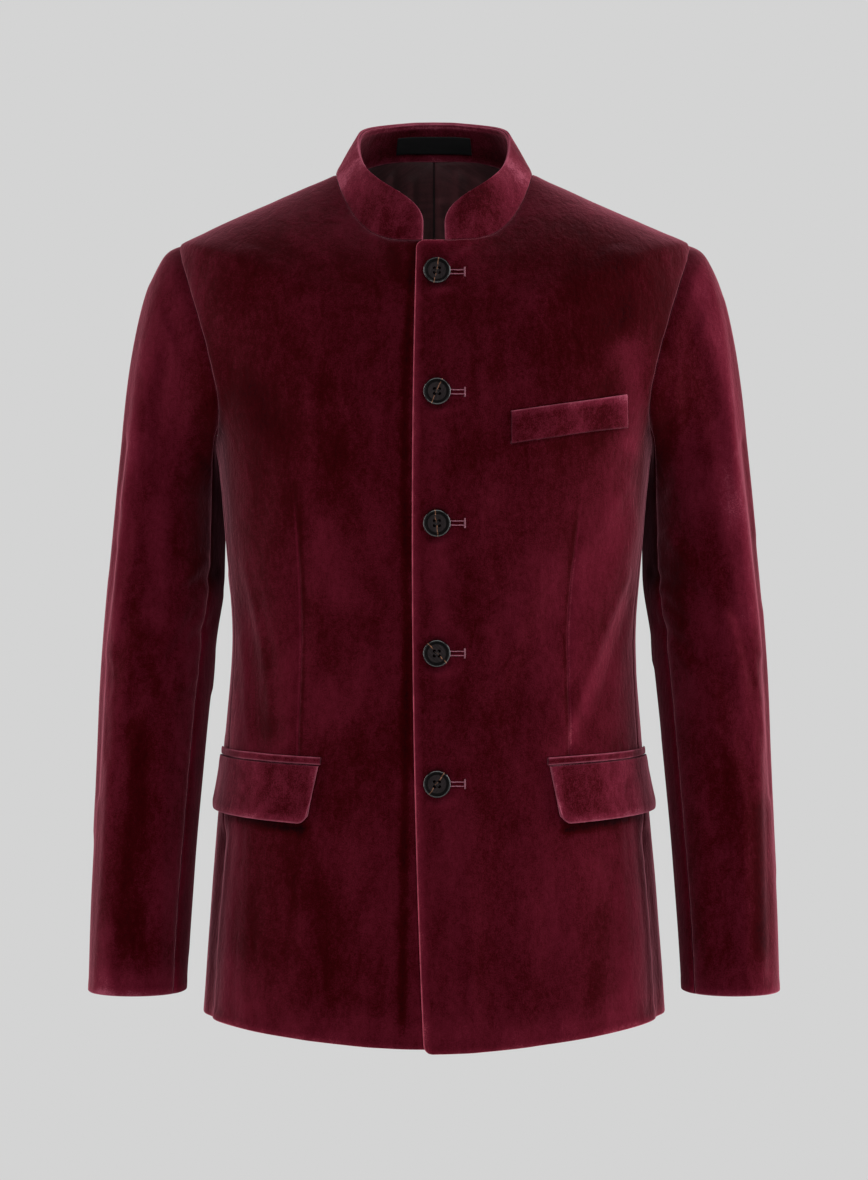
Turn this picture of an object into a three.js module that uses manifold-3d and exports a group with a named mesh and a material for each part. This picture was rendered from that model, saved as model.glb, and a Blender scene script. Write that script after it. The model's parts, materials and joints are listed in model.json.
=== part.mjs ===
// A velvet Nehru jacket with a stand collar, buttoned up and filled out as when it is worn.
// Millimetres. X runs to the wearer's left, Y to the wearer's back and Z up. The origin is the middle
// of the neck's base, level with the points where the shoulder seams meet the collar.
import * as THREE from "three";
import { mergeVertices } from "three/addons/utils/BufferGeometryUtils.js";
import Module from "manifold-3d";

const wasm = await Module();
wasm.setup();

// ---------- Driving dimensions ----------
const NECK_HALF = 86; // half widths of the body
const SHOULDER_HALF = 222;
const CHEST_HALF = 190;
const WAIST_HALF = 175.5;
const HEM_HALF = 201;
const FRONT_LENGTH = 744; // from the neck's base down to the hem
const SIDE_LENGTH = 727;
const BACK_LENGTH = 738;
const SLEEVE_LENGTH = 706;

const VELVET = 2; // velvet with its interlining
const FLAP_THICK = 2.6; // velvet on both sides
const JET_THICK = 1.5;
const LINING_THICK = 1;
const SEAM_GAP = 0.3; // between pieces sewn together
const LAYER_GAP = 0.3; // between a piece and what it lies on

const OVERLAP = 18.5; // how far a front reaches past the centre line
const OVERLAP_SWEEP = 10; // how much of that the front edge gives up at the hem
const OVERLAP_PEAK_Z = -320;
const OVERLAP_LIFT = 1.45; // the upper front rises and the lower one sinks by this in the overlap
const EDGE_CORNER = 7; // radius of the corners of a front
const OVER_HEM_DROP = 2.7; // the upper front hangs lower at its edge

const BUTTON_RADIUS = 11.5;
const BUTTON_X = 2.4;
const TOP_BUTTON_Z = -93.5;
const TOP_BUTTON_PITCH = 102.5;
const BUTTON_PITCH = 109;
const BUTTON_COUNT = 5;

const RIGHT_ANGLE = Math.PI / 2;
const degrees = (value) => (value * Math.PI) / 180;

// ---------- Tables and curves ----------
// A row for each section, as objects with the named columns.
function table(columns, rows) {
  const names = columns.split(" ");
  return rows.map((row) => Object.fromEntries(names.map((name, i) => [name, row[i]])));
}

const clamp = (value, low, high) => Math.min(high, Math.max(low, value));
const mix = (a, b, share) => a + (b - a) * share;
const mixPair = (a, b, share) => [mix(a[0], b[0], share), mix(a[1], b[1], share)];

function smoothstep(from, to, value) {
  const share = clamp((value - from) / (to - from), 0, 1);
  return share * share * (3 - 2 * share);
}

// Equal steps from one value to another, both included.
function steps(from, to, count) {
  return Array.from({ length: count + 1 }, (_, i) => mix(from, to, i / count));
}

// A section between the rows of a table, on a smooth curve through every column. The curve never
// swings past its rows: where two steps agree in sign its slope is their harmonic mean, else level.
function sectionAt(rows, place) {
  const i = clamp(Math.floor(place), 0, rows.length - 2);
  const section = {};
  for (const name of Object.keys(rows[i])) {
    const step = (j) => {
      const k = clamp(j, 0, rows.length - 2);
      return rows[k + 1][name] - rows[k][name];
    };
    const slope = (j) => {
      const [before, after] = [step(j - 1), step(j)];
      return before * after > 0 ? (2 * before * after) / (before + after) : 0;
    };
    const [from, to] = [rows[i][name], rows[i + 1][name]];
    section[name] = hermite(from, slope(i), to, slope(i + 1), place - i);
  }
  return section;
}

function hermite(start, startSlope, end, endSlope, f) {
  if (f < 0) return start + startSlope * f;
  if (f > 1) return end + endSlope * (f - 1);
  const f2 = f * f;
  const f3 = f2 * f;
  return (
    start * (2 * f3 - 3 * f2 + 1) +
    startSlope * (f3 - 2 * f2 + f) +
    end * (3 * f2 - 2 * f3) +
    endSlope * (f3 - f2)
  );
}

// How much a corner of the given radius takes off an edge at a distance from the corner's end.
function fillet(radius, distance) {
  const share = clamp(1 - distance / radius, 0, 1);
  return radius * (1 - Math.sqrt(1 - share * share));
}

// ---------- The body's form ----------
// Rings round the body from the hem up to the neckline. A ring's height goes from frontZ at the
// centre front to sideZ at the side and backZ at the centre back; bowl and level are how long it
// stays level at the front and at the back, and square how full the ring's corners are.
const HEM_ROW = 0;
const PIT_ROW = 6;
const TIP_ROW = 8;
const NECK_ROW = 11;
const ROW_HEIGHT = 80; // near enough the distance between the lower rings
const TOP_ROW_HEIGHT = 36; // and at the centre front of the top one
const RINGS = table("frontZ sideZ backZ half ahead behind square bowl level", [
  [-FRONT_LENGTH, -SIDE_LENGTH, -BACK_LENGTH, HEM_HALF, 131, 127, 2.4, 2.5, 2],
  [-655, -645, -652, HEM_HALF - 5, 128, 122, 2.4, 2.3, 2],
  [-568, -565, -567, HEM_HALF - 12, 123, 114, 2.4, 2, 2],
  [-485, -485, -485, WAIST_HALF + 5.5, 118, 104, 2.4, 2, 2],
  [-405, -405, -405, WAIST_HALF, 115, 98, 2.4, 2, 2],
  [-325, -325, -322, WAIST_HALF + 6, 119, 104, 2.4, 2, 2],
  [-240, -240, -235, CHEST_HALF, 124, 112, 2.35, 2, 2],
  [-196, -150, -174, SHOULDER_HALF + 2, 121, 113, 2.3, 2, 2],
  [-151, -60, -116, SHOULDER_HALF, 113, 106, 2.25, 2.4, 2.4],
  [-129, -49, -76, 200, 108, 99, 2.2, 2.8, 2.6],
  [-101, -27, -25, 151, 100, 87, 2.15, 3.2, 3],
  [-65, 2, 26, NECK_HALF, 88, 70, 2.1, 4, 4],
]);

function ringPoint(ring, angle) {
  const sin = Math.abs(Math.sin(angle));
  const cos = Math.cos(angle);
  const depth = cos > 0 ? ring.ahead : ring.behind;
  const bulge = (sin / ring.half) ** ring.square + (Math.abs(cos) / depth) ** ring.square;
  const reach = bulge ** (-1 / ring.square);
  const drop =
    cos > 0
      ? (1 - sin ** ring.bowl) * (ring.frontZ - ring.sideZ)
      : (1 - sin ** ring.level) * (ring.backZ - ring.sideZ);
  return new THREE.Vector3(Math.sin(angle) * reach, -cos * reach, ring.sideZ + drop);
}

// The angle at which the front half of a ring has the given x.
function angleAtX(ring, x) {
  const y = ring.ahead * (1 - (Math.abs(x) / ring.half) ** ring.square) ** (1 / ring.square);
  return Math.atan2(x, y);
}

// Outward normal of a surface whose first coordinate runs anticlockwise seen from above and whose
// second runs up.
const ANGLE_STEP = 0.004;
const ROW_STEP = 0.01;
function normalOf(surface, u, v) {
  const across = surface(u + ANGLE_STEP, v).sub(surface(u - ANGLE_STEP, v));
  const along = surface(u, v + ROW_STEP).sub(surface(u, v - ROW_STEP));
  return across.cross(along).normalize();
}

// The largest soft folds, each a line from one place to another: angle in degrees round the body,
// positive on the wearer's left, row by the rings above. A depth below zero is a trough.
const BODY_FOLDS = table("angle row toAngle toRow width depth", [
  [72, 5.2, 40, 2.9, 15, 2.2], // drag line from under the left arm to the pocket
  [55, 5.0, 30, 3.4, 16, -1.4],
  [77, 2.3, 77, 0.0, 9, -3.5], // the side panel falls in behind the front below the pocket
  [-77, 2.3, -77, 0.0, 9, -4],
  [-60, 4.9, -52, 3.1, 16, 1.8],
  [-70, 4.3, -63, 3.0, 12, -1.6],
  [25, 2.0, 20, 0.0, 22, -1.6], // skirt
  [-33, 2.0, -30, 0.0, 22, -1.6],
  [48, 1.6, 50, 0.0, 20, 1.6],
  [-52, 1.6, -55, 0.0, 20, 1.4],
  [68, 7.0, 50, 6.2, 16, -2], // hollow of the chest in front of the arm
  [-68, 7.0, -50, 6.2, 16, -2],
  [118, 7.0, 130, 5.4, 18, -2.4], // back: blade folds and the waist's side creases
  [-118, 7.0, -130, 5.4, 18, -2.4],
  [112, 4.8, 142, 3.9, 15, -2],
  [-112, 4.8, -145, 3.7, 15, -2],
  [140, 2.4, 138, 0.0, 20, -2.4],
  [-140, 2.4, -136, 0.0, 20, -2.4],
]);

// Height of the folds at a place on a chart, where across and along turn its steps into millimetres.
function foldHeight(folds, place, across, along, turn) {
  let height = 0;
  for (const fold of folds) {
    const wrap = (value) => value - turn * Math.round(value / turn);
    const px = wrap(place[0] - fold.angle) * across;
    const py = (place[1] - fold.row) * along;
    const dx = wrap(fold.toAngle - fold.angle) * across;
    const dy = (fold.toRow - fold.row) * along;
    const share = clamp((px * dx + py * dy) / (dx * dx + dy * dy), 0, 1);
    const distance = Math.hypot(px - dx * share, py - dy * share);
    height += fold.depth * Math.exp(-((distance / fold.width) ** 2));
  }
  return height;
}

const BODY_MM_PER_DEGREE = 2.7;
function bodyPoint(angle, row) {
  const plain = (a, w) => ringPoint(sectionAt(RINGS, w), a);
  const place = [(angle * 180) / Math.PI, row];
  const height = foldHeight(BODY_FOLDS, place, BODY_MM_PER_DEGREE, ROW_HEIGHT, 360);
  return plain(angle, row).addScaledVector(normalOf(plain, angle, row), height);
}

// A point on the body moved out by lift.
function onBody(angle, row, lift) {
  return bodyPoint(angle, row).addScaledVector(normalOf(bodyPoint, angle, row), lift);
}

// The row at which the body has the given height at an angle.
function rowAtHeight(angle, z) {
  let row = clamp(NECK_ROW + z / ROW_HEIGHT, HEM_ROW, NECK_ROW);
  for (let i = 0; i < 30; i += 1) {
    const here = ringPoint(sectionAt(RINGS, row), angle).z;
    row = clamp(row + ((z - here) / ROW_HEIGHT) * 0.8, -0.1, NECK_ROW + 0.1);
  }
  return row;
}

// The place on the front, [angle, row], that has the given x and height.
function frontPlace(x, z) {
  let angle = 0;
  let row = rowAtHeight(0, z);
  for (let i = 0; i < 8; i += 1) {
    angle = angleAtX(sectionAt(RINGS, row), x);
    row = rowAtHeight(angle, z);
  }
  return [angle, row];
}

// ---------- Seams of the body, on the wearer's left ----------
const ARMHOLE_FRONT = degrees(20); // how far the armhole cuts in, each side of the side line
const ARMHOLE_BACK = degrees(16.5);
const ARMHOLE_SHAPE = 1.4;
const ARMHOLE_SCOOP = 0.35; // how much of the front cut is low down
const FRONT_SEAM_END = degrees(160); // where the side panel's seams reach the armhole
const BACK_SEAM_END = degrees(225);
const FRONT_SEAM_AT_HEM = degrees(75.5);
const FRONT_SEAM_AT_WAIST = degrees(78.5);
const BACK_SEAM_AT_HEM = degrees(106);
const BACK_SEAM_AT_WAIST = degrees(107);

// The armhole: turn 0 is the shoulder tip, a quarter turn the front and a half turn the underarm.
function armhole(turn) {
  const side = Math.sin(turn);
  const scooped = Math.sin(turn - ARMHOLE_SCOOP * side);
  const cut =
    side > 0
      ? -ARMHOLE_FRONT * Math.max(scooped, 0) ** ARMHOLE_SHAPE
      : ARMHOLE_BACK * (-side) ** ARMHOLE_SHAPE;
  return [RIGHT_ANGLE + cut, TIP_ROW - ((TIP_ROW - PIT_ROW) * (1 - Math.cos(turn))) / 2];
}

// A seam of the side panel from the hem, through the waist, up to the armhole.
function sideSeam(atHem, atWaist, turn, share) {
  const [topAngle, topRow] = armhole(turn);
  const waistShare = 0.62;
  const bend = (atWaist - mix(atHem, topAngle, waistShare)) / (waistShare * (1 - waistShare));
  return [mix(atHem, topAngle, share) + bend * share * (1 - share), topRow * share];
}
const frontSeam = (share) =>
  sideSeam(FRONT_SEAM_AT_HEM, FRONT_SEAM_AT_WAIST, FRONT_SEAM_END, share);
const backSeam = (share) => sideSeam(BACK_SEAM_AT_HEM, BACK_SEAM_AT_WAIST, BACK_SEAM_END, share);

// The front edge, which crosses the centre line, with its rounded corners at hem and neck.
function frontEdge(row) {
  const ring = sectionAt(RINGS, row);
  const sweep = ((ring.frontZ - OVERLAP_PEAK_Z) / (FRONT_LENGTH + OVERLAP_PEAK_Z)) ** 2;
  const fromHem = (row - HEM_ROW) * ROW_HEIGHT;
  const fromNeck = (NECK_ROW - row) * TOP_ROW_HEIGHT;
  const corner = fillet(EDGE_CORNER, fromHem) + fillet(EDGE_CORNER, fromNeck);
  return angleAtX(ring, -(OVERLAP - OVERLAP_SWEEP * sweep) + corner);
}

// ---------- Walls of cloth ----------
// A closed solid between an outer and an inner grid of points.
function solidBetween(outer, inner) {
  const rows = outer.length;
  const columns = outer[0].length;
  const points = [...outer.flat(), ...inner.flat()];
  const index = [];
  const at = (layer, i, j) => layer * rows * columns + i * columns + j;
  const quad = (a, b, c, d) => index.push(a, b, c, a, c, d);
  for (let i = 0; i < rows - 1; i += 1)
    for (let j = 0; j < columns - 1; j += 1) {
      quad(at(0, i, j), at(0, i, j + 1), at(0, i + 1, j + 1), at(0, i + 1, j));
      quad(at(1, i, j), at(1, i + 1, j), at(1, i + 1, j + 1), at(1, i, j + 1));
    }
  const rim = (i, j, k, l) => quad(at(0, k, l), at(0, i, j), at(1, i, j), at(1, k, l));
  for (let j = 0; j < columns - 1; j += 1) {
    rim(0, j, 0, j + 1);
    rim(rows - 1, j + 1, rows - 1, j);
  }
  for (let i = 0; i < rows - 1; i += 1) {
    rim(i + 1, 0, i, 0);
    rim(i, columns - 1, i + 1, columns - 1);
  }
  return geometryOf(points, index);
}

// A geometry of shared points, its faces turned so that they point out.
function geometryOf(points, index) {
  let volume = 0;
  for (let i = 0; i < index.length; i += 3) {
    const [a, b, c] = [points[index[i]], points[index[i + 1]], points[index[i + 2]]];
    volume += a.dot(b.clone().cross(c));
  }
  if (volume < 0)
    for (let i = 0; i < index.length; i += 3)
      [index[i + 1], index[i + 2]] = [index[i + 2], index[i + 1]];
  const geometry = new THREE.BufferGeometry().setFromPoints(points);
  return geometry.setIndex(index);
}

// A wall of cloth: surface(s, t) gives its outer point and outward normal. Its rim is drawn in by
// half the gap, so that neighbours stay apart.
function wall(surface, columns, rows, thickness, gap = SEAM_GAP) {
  const grid = rows.map((t) => columns.map((s) => surface(s, t)));
  const lastRow = rows.length - 1;
  const lastColumn = columns.length - 1;
  const inset = (i, j) => {
    const here = grid[i][j].point;
    const moved = here.clone();
    const pull = (to) => moved.addScaledVector(to.point.clone().sub(here).normalize(), gap / 2);
    if (i === 0) pull(grid[1][j]);
    if (i === lastRow) pull(grid[lastRow - 1][j]);
    if (j === 0) pull(grid[i][1]);
    if (j === lastColumn) pull(grid[i][lastColumn - 1]);
    return moved;
  };
  const outer = grid.map((line, i) => line.map((_, j) => inset(i, j)));
  const inner = outer.map((line, i) =>
    line.map((point, j) => point.clone().addScaledVector(grid[i][j].normal, -thickness)),
  );
  return solidBetween(outer, inner);
}

// A patch of a chart inside four edges, each running with s or t from 0 to 1.
function patch(bottom, top, left, right) {
  return (s, t) => {
    const across = mixPair(left(t), right(t), s);
    const along = mixPair(bottom(s), top(s), t);
    const corners = mixPair(mixPair(left(0), right(0), s), mixPair(left(1), right(1), s), t);
    return [across[0] + along[0] - corners[0], across[1] + along[1] - corners[1]];
  };
}

// Turns a place on a chart of the wearer's left side into a point and normal on either side.
function bodySurface(side, chart, lift) {
  return (s, t) => {
    const [angle, row] = chart(s, t);
    const normal = normalOf(bodyPoint, side * angle, row);
    const point = bodyPoint(side * angle, row).addScaledVector(normal, lift(s, t, angle, row));
    return { point, normal };
  };
}

// ---------- Fronts, side panels and backs ----------
const NECK_SHARE = 0.84; // share of a front's or back's rows below its neck corner
const FRONT_JOINT_SHARE = (NECK_SHARE * armhole(FRONT_SEAM_END)[1]) / NECK_ROW; // armhole's start
const BACK_JOINT_SHARE = (NECK_SHARE * armhole(BACK_SEAM_END)[1]) / NECK_ROW;

// Pieces that meet share these places along their seams: shares up a side seam, and degrees round
// the neck for a front or one end of the collar, and for a back.
const SEAM_SHARES = [0, 0.005, 0.0137, ...steps(0.08, 1, 10)];
const COLLAR_END_X = 9.5; // from the centre line to each end of the collar
const COLLAR_END = angleAtX(RINGS[NECK_ROW], COLLAR_END_X);
const FRONT_NECK_ANGLES = [COLLAR_END, ...[12, 21, 32, 44, 58, 73, 90].map(degrees)];
const BACK_NECK_ANGLES = [180, 164, 148, 129, 109, 90].map(degrees);

// A front or back: one edge runs up the middle and round the neck, the other up the side seam and
// round the armhole, and the top is the shoulder seam.
function panelChart(middle, seam, seamEnd, jointShare, hemDrop = 0) {
  const fullTurn = seamEnd > Math.PI ? 2 * Math.PI : 0;
  const foot = -hemDrop / ROW_HEIGHT;
  const left = (t) =>
    t < NECK_SHARE
      ? [middle((NECK_ROW * t) / NECK_SHARE), mix(foot, NECK_ROW, t / NECK_SHARE)]
      : [mix(middle(NECK_ROW), RIGHT_ANGLE, (t - NECK_SHARE) / (1 - NECK_SHARE)), NECK_ROW];
  const right = (t) =>
    t < jointShare
      ? seam(t / jointShare)
      : armhole(mix(seamEnd, fullTurn, (t - jointShare) / (1 - jointShare)));
  const bottom = (s) => [mix(middle(HEM_ROW), seam(0)[0], s), foot * (1 - s)];
  const top = (s) => [RIGHT_ANGLE, mix(NECK_ROW, TIP_ROW, s)];
  return patch(bottom, top, left, right);
}

const frontChart = (side) =>
  panelChart(
    frontEdge,
    frontSeam,
    FRONT_SEAM_END,
    FRONT_JOINT_SHARE,
    side > 0 ? OVER_HEM_DROP : -OVER_HEM_DROP / 4,
  );
const backChart = panelChart(() => Math.PI, backSeam, BACK_SEAM_END, BACK_JOINT_SHARE);

// The dart is a line down the front panel, taken in from under the chest to the pocket.
const DART_COLUMN = 0.665;
const DART_TOP = 0.475;
const DART_FOOT = 0.245;
const DART_DEPTH = 1.3;
function dartDepth(s, t) {
  const along = smoothstep(DART_TOP, DART_TOP - 0.12, t) * smoothstep(DART_FOOT - 0.03, DART_FOOT, t);
  return DART_DEPTH * along * clamp(1 - Math.abs(s - DART_COLUMN) / 0.035, 0, 1);
}

// Where the fronts overlap, the one on top stands out and the one below sinks in.
function overlapLift(side, angle, row) {
  const x = ringPoint(sectionAt(RINGS, row), angle).x;
  return side * OVERLAP_LIFT * smoothstep(70, 26, x);
}

const FRONT_COLUMNS = [
  ...[0, 0.06, 0.14, 0.24, 0.35, 0.46, 0.56],
  ...[DART_COLUMN - 0.035, DART_COLUMN, DART_COLUMN + 0.035],
  ...[0.79, 0.9, 1],
];

// The share of a panel's rows at which its neckline has an angle.
function neckShare(middleAngle, angle) {
  return mix(NECK_SHARE, 1, (angle - middleAngle) / (RIGHT_ANGLE - middleAngle));
}
const FRONT_ROWS = [
  ...SEAM_SHARES.map((share) => share * FRONT_JOINT_SHARE),
  ...steps(FRONT_JOINT_SHARE, NECK_SHARE - 0.03, 5).slice(1),
  ...[NECK_SHARE - 0.014, NECK_SHARE - 0.005, NECK_SHARE, NECK_SHARE + 0.012],
  ...FRONT_NECK_ANGLES.map((angle) => neckShare(frontEdge(NECK_ROW), angle)),
];
const BACK_ROWS = [
  ...SEAM_SHARES.map((share) => share * BACK_JOINT_SHARE),
  ...steps(BACK_JOINT_SHARE, NECK_SHARE, 4).slice(1),
  ...BACK_NECK_ANGLES.slice(1).map((angle) => neckShare(Math.PI, angle)),
];
const BACK_COLUMNS = [...steps(0, 0.94, 8), 1];

function frontPanel(side) {
  const lift = (s, t, angle, row) => overlapLift(side, angle, row) - dartDepth(s, t);
  return wall(bodySurface(side, frontChart(side), lift), FRONT_COLUMNS, FRONT_ROWS, VELVET);
}

function backPanel(side) {
  return wall(bodySurface(side, backChart, () => 0), BACK_COLUMNS, BACK_ROWS, VELVET);
}

function sidePanel(side) {
  const top = (s) => armhole(mix(FRONT_SEAM_END, BACK_SEAM_END, s));
  const bottom = (s) => [mix(frontSeam(0)[0], backSeam(0)[0], s), HEM_ROW];
  const chart = patch(bottom, top, frontSeam, backSeam);
  return wall(bodySurface(side, chart, () => 0), steps(0, 1, 5), SEAM_SHARES, VELVET);
}

// The upper back's lining, a half on each side of its centre seam, which shows inside the neck.
const LINING_FOOT = 0.5; // share of the back's rows below its foot
function backLining(side) {
  const lift = () => -VELVET - LAYER_GAP;
  const rows = BACK_ROWS.filter((t) => t > LINING_FOOT && t < 1);
  return wall(bodySurface(side, backChart, lift), BACK_COLUMNS.slice(0, -1), rows, LINING_THICK);
}

// ---------- Sleeves ----------
// Rings down the sleeve below its head: height, how far out its outer and inner sides are, and how
// far forward and back it reaches. The outer side is higher than the inner by twice the tilt, and
// the inner side lies further back by the skew.
const SLEEVE_RINGS = table("z outer inner ahead behind tilt skew", [
  [-262, 272.5, 184.5, 64, 60, 30, 40],
  [-335, 282, 184.5, 61, 55, 12, 34],
  [-405, 288, 191.5, 63, 50, 2, 20],
  [-475, 291.5, 198, 67, 43, 0, 9],
  [-545, 294, 203.5, 72, 33, 0, 3],
  [-625, 296.3, 209, 76, 23, 0, 0],
  [-SLEEVE_LENGTH, 297.6, 213.6, 79, 14, 0, 0],
]);
const SLEEVE_SQUARE = 2.1;
const SLEEVE_SEAM_GAP = 0.5;
const HEAD_SHARE = 0.3; // share of the sleeve's rows in its head
const HEAD_REACH = 0.62; // how strongly the head leaves the armhole
const HEAD_END_REACH = 0.95; // and how strongly it runs into the sleeve

const SLEEVE_MM_PER_DEGREE = 1;
const SLEEVE_FOLDS = table("angle row toAngle toRow width depth", [
  [60, 0.1, 35, 0.55, 10, 2.2], // long soft folds down the outer arm
  [28, 0.3, 20, 0.75, 9, -1.8],
  [100, 0.45, 62, 0.72, 11, -1.6],
  [45, 0.62, 60, 0.98, 12, 1.5],
  [88, 0.66, 100, 0.95, 12, -1.5],
  [150, 0.42, 60, 0.5, 8, -2.2], // creases inside the elbow
  [155, 0.5, 85, 0.58, 8, -1.8],
  [-80, 0.2, -60, 0.5, 12, -2], // and behind
  [-100, 0.5, -60, 0.6, 9, 1.8],
  [-70, 0.62, -85, 0.95, 13, -1.6],
]);

// The sleeve below its head at a turn round the arm: 0 is the outer side, a quarter turn the front.
function lowerSleeve(turn, place) {
  const ring = sectionAt(SLEEVE_RINGS, place);
  const cos = Math.cos(turn);
  const sin = Math.sin(turn);
  const [halfWidth, halfDepth] = [(ring.outer - ring.inner) / 2, (ring.ahead + ring.behind) / 2];
  const bulge = Math.abs(cos) ** SLEEVE_SQUARE + Math.abs(sin) ** SLEEVE_SQUARE;
  const full = bulge ** (-1 / SLEEVE_SQUARE);
  return new THREE.Vector3(
    (ring.outer + ring.inner) / 2 + halfWidth * cos * full,
    (ring.behind - ring.ahead) / 2 - halfDepth * sin * full + (ring.skew * (1 - cos)) / 2,
    ring.z + ring.tilt * cos,
  );
}

// The direction in which the sleeve's head leaves the armhole.
function headStart(turn) {
  const top = (1 + Math.cos(turn)) / 2;
  const front = Math.sin(turn);
  return new THREE.Vector3(mix(0.28, 0.95, top ** 0.6), -0.3 * front, mix(-0.95, -0.3, top));
}

function plainSleeve(turn, share) {
  const rows = SLEEVE_RINGS.length - 1;
  if (share >= HEAD_SHARE)
    return lowerSleeve(turn, (rows * (share - HEAD_SHARE)) / (1 - HEAD_SHARE));
  const f = share / HEAD_SHARE;
  const [angle, row] = armhole(turn);
  const start = bodyPoint(angle, row);
  const end = lowerSleeve(turn, 0);
  const down = lowerSleeve(turn, 0.05).sub(end).normalize();
  const length = start.distanceTo(end);
  const startSlope = headStart(turn).normalize().multiplyScalar(length * HEAD_REACH);
  const endSlope = down.multiplyScalar(length * HEAD_END_REACH);
  return new THREE.Vector3(
    ...["x", "y", "z"].map((k) => hermite(start[k], startSlope[k], end[k], endSlope[k], f)),
  );
}

function sleevePoint(side, turn, share) {
  const height = foldHeight(
    SLEEVE_FOLDS,
    [(turn * 180) / Math.PI, share],
    SLEEVE_MM_PER_DEGREE,
    SLEEVE_LENGTH,
    360,
  );
  const fade = smoothstep(0, 0.12, share);
  const point = plainSleeve(turn, share);
  point.addScaledVector(normalOf(plainSleeve, turn, share), height * fade);
  point.x *= side;
  return point;
}

const FOREARM_SEAM = degrees(141);
const HIND_SEAM = degrees(-75);
function sleevePiece(side, from, to, columns) {
  const surface = (s, t) => {
    const point = (turn, share) => sleevePoint(side, turn, share);
    const turn = mix(from, to, s);
    const normal = normalOf(point, turn, t).multiplyScalar(side);
    return { point: point(turn, t), normal };
  };
  const rows = [...steps(0.005, HEAD_SHARE, 5), ...steps(HEAD_SHARE, 1, 8).slice(1)];
  return wall(surface, steps(0, 1, columns), rows, VELVET, SLEEVE_SEAM_GAP);
}

// ---------- Collar ----------
const COLLAR_TOP = {
  frontZ: -33,
  sideZ: 41,
  backZ: 56.5,
  half: 67,
  ahead: 75,
  behind: 54,
  square: 2.1,
  bowl: 3,
  level: 5,
};
const COLLAR_CORNER_X = 17; // from its end to where its top edge is level
const COLLAR_BOW = 1.5; // the stand bows outwards at half its height
const COLLAR_FOOT = 0.022; // share of its height that the seam takes
function collarPoint(angle, height) {
  const foot = ringPoint(RINGS[NECK_ROW], angle);
  const top = ringPoint(COLLAR_TOP, angle);
  const point = foot.lerp(top, height);
  const outward = new THREE.Vector3(Math.sin(angle), -Math.cos(angle), 0);
  return point.addScaledVector(outward, COLLAR_BOW * 4 * height * (1 - height));
}

// An end of the collar: straight up, then round to the top edge.
const COLLAR_STRAIGHT = 0.45;
const COLLAR_CORNER = angleAtX(COLLAR_TOP, COLLAR_END_X + COLLAR_CORNER_X) - COLLAR_END;
function collarEnd(t) {
  if (t < COLLAR_STRAIGHT) return [COLLAR_END, mix(COLLAR_FOOT, COLLAR_STRAIGHT, t / COLLAR_STRAIGHT)];
  const q = (RIGHT_ANGLE * (t - COLLAR_STRAIGHT)) / (1 - COLLAR_STRAIGHT);
  return [COLLAR_END + COLLAR_CORNER * (1 - Math.cos(q)), mix(COLLAR_STRAIGHT, 1, Math.sin(q))];
}

const around = (angle) => 2 * Math.PI - angle;
const collarChart = patch(
  (s) => [mix(COLLAR_END, around(COLLAR_END), s), COLLAR_FOOT],
  (s) => [mix(COLLAR_END + COLLAR_CORNER, around(COLLAR_END + COLLAR_CORNER), s), 1],
  collarEnd,
  (t) => [around(collarEnd(t)[0]), collarEnd(t)[1]],
);
const collarShare = (angle) => (angle - COLLAR_END) / (2 * Math.PI - 2 * COLLAR_END);
const HALF_COLLAR = [...FRONT_NECK_ANGLES, ...BACK_NECK_ANGLES.slice(0, -1).reverse()];
const COLLAR_COLUMNS = [
  ...HALF_COLLAR.map(collarShare),
  ...HALF_COLLAR.slice(0, -1).reverse().map((angle) => collarShare(around(angle))),
];
const COLLAR_ROWS = [0, 0.25, 0.5, 0.7, 0.86, 1];

function onCollar(lift) {
  return (s, t) => {
    const [angle, height] = collarChart(s, t);
    const normal = normalOf(collarPoint, angle, height);
    return { point: collarPoint(angle, height).addScaledVector(normal, lift), normal };
  };
}
const collarPiece = (lift, thickness) =>
  wall(onCollar(lift), COLLAR_COLUMNS, COLLAR_ROWS, thickness);

const COLLAR_FACING = 1.5;
const LABEL_THICK = 0.8;
const LABEL_ROWS = [0.16, 0.38, 0.62]; // up the stand
function neckLabel() {
  const lift = -VELVET - LAYER_GAP - COLLAR_FACING - LAYER_GAP;
  const middle = HALF_COLLAR.length - 1;
  return wall(onCollar(lift), COLLAR_COLUMNS.slice(middle - 2, middle + 3), LABEL_ROWS, LABEL_THICK);
}

// ---------- Pockets ----------
const FLAP_FRONT_X = 96; // at its top, and further back at its foot
const FLAP_FOOT_X = 103.5;
const FLAP_REAR = degrees(84);
const FLAP_TOP_Z = -508.5;
const FLAP_TOP_RISE = 5; // towards the back
const FLAP_DEPTH = 49;
const FLAP_FOOT_RISE = 7;
const FLAP_CORNER = 9;
const FLAP_FLARE = 1.5; // its foot stands off the body
const FLAP_REAR_FLARE = 1.5;
const JET_HEIGHT = 6.5;
const JET_OVERRUN = 1.5;
const POCKET_LIFT = 0.9; // how far jets, flaps and welt lie off the front's curve

// A place on the body from an angle and a height.
const placeAt = (angle, z) => [angle, rowAtHeight(angle, z)];

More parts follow.
